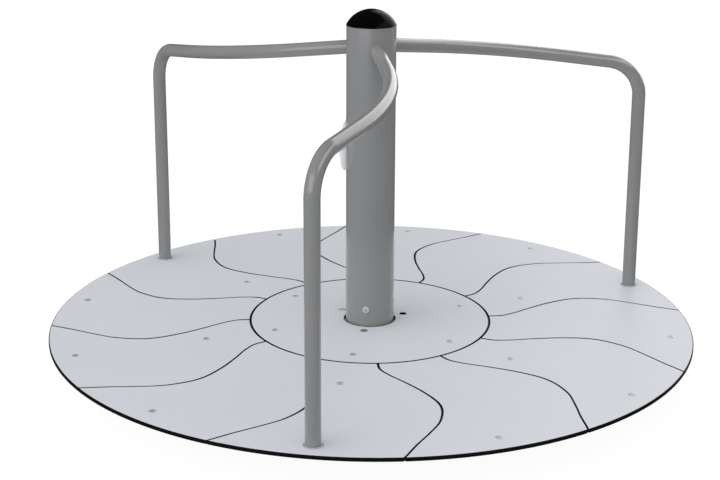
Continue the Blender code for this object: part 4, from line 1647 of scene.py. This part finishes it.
# %% Base plate and anchors
ANCHOR_OFFSET = 0.180
ANCHOR_HOLE = 0.009
GROUND_PLATE_CORNER = 0.012
GROUND_PLATE_ARRIS = 0.0010
STUD_RADIUS = 0.0078
STUD_ABOVE = 0.024
STUD_BELOW = 0.010
STUD_CHAMFER = 0.0012
ANCHOR_SPOTS = [Vector((x * ANCHOR_OFFSET, y * ANCHOR_OFFSET, 0.0)) for x in (-1, 1) for y in (-1, 1)]


def ground_plate():
    low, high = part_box("base_plate")
    loops = [square_outline(high.x - low.x, GROUND_PLATE_CORNER)]
    loops += [circle(ANCHOR_HOLE, steps=32, centre=spot) for spot in ANCHOR_SPOTS]
    mesh = flat_board("ground_plate", loops, low.z, high.z, GROUND_PLATE_ARRIS)
    plate = put("ground_plate", mesh, "galvanised_steel", body="base")
    keep_flat(plate)
    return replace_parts(plate, "base_plate")


def anchors():
    profile = rounded([(0.0, STUD_ABOVE, 0.0), (STUD_RADIUS, STUD_ABOVE, STUD_CHAMFER),
                       (STUD_RADIUS, -STUD_BELOW, 0.0), (0.0, -STUD_BELOW, 0.0)])
    stud = turned("stud", profile, steps=24, closed=False)
    nut = nut_and_washer(bore=0.0080, washer=0.0150, nut=0.0138)
    upside_down = Matrix.Rotation(math.pi, 4, "X")
    parts = []
    for spot in ANCHOR_SPOTS:
        lift = Matrix.Translation(spot + UP * heights("base_plate")[1])
        parts += [(stud, lift), (nut, lift @ chance_turn() @ upside_down)]
    return put("anchors", joined("anchors", parts), "galvanised_steel", "screw_steel", body="base")


ground_plate()
anchors()
print("anchors:", len(ANCHOR_SPOTS))

# %% Pedestal and its weld
PEDESTAL_OUTER_ROUND = 0.0015
PEDESTAL_BORE_ROUND = 0.0005
PEDESTAL_BEAD = 0.005
PEDESTAL_BEAD_FLATNESS = 0.98
PEDESTAL_BEAD_STEPS = 2 * BEAD_STEPS
PEDESTAL_BEAD_RIPPLES = 3 * BEAD_RIPPLES


def pedestal_ring():
    (inner, outer), (foot, head) = radii("pedestal"), heights("pedestal")
    profile = rounded([(outer, head, PEDESTAL_OUTER_ROUND), (outer, foot, 0.0),
                       (inner, foot, 0.0), (inner, head, PEDESTAL_BORE_ROUND)])
    mesh = turned("pedestal_ring", profile, steps=96)
    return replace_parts(put("pedestal_ring", mesh, "galvanised_steel", body="base"), "pedestal")


def pedestal_weld():
    outer, foot = radii("pedestal")[1], heights("pedestal")[0]
    rows = []
    for i in range(PEDESTAL_BEAD_STEPS):
        angle = 360.0 * i / PEDESTAL_BEAD_STEPS
        size = bead_size(PEDESTAL_BEAD, math.radians(angle * PEDESTAL_BEAD_RIPPLES))
        middle, across = polar(outer, angle, foot), polar(1.0, angle)
        rows.append(bead_row(middle, across, UP * PEDESTAL_BEAD_FLATNESS, size))
    mesh = bead_skin("pedestal_weld", rows, looped=True)
    return put("pedestal_weld", mesh, "galvanised_steel", body="base")


print("pedestal faces:", len(pedestal_ring().data.polygons))
print("faces in its weld:", len(pedestal_weld().data.polygons))

# %% [markdown]
# ## Keeping the CAD size
# The looks are meant to keep the size of the object. The box of the CAD model was kept at the start, and the
# box of everything that shows now is printed beside it, so the two can be compared.

# %% Sizes side by side
visual_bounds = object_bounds()
for label, (low, high) in (("CAD", cad_bounds), ("visual", visual_bounds)):
    print(f"{label} box: {tuple(round(x, 4) for x in low)} to {tuple(round(x, 4) for x in high)}")
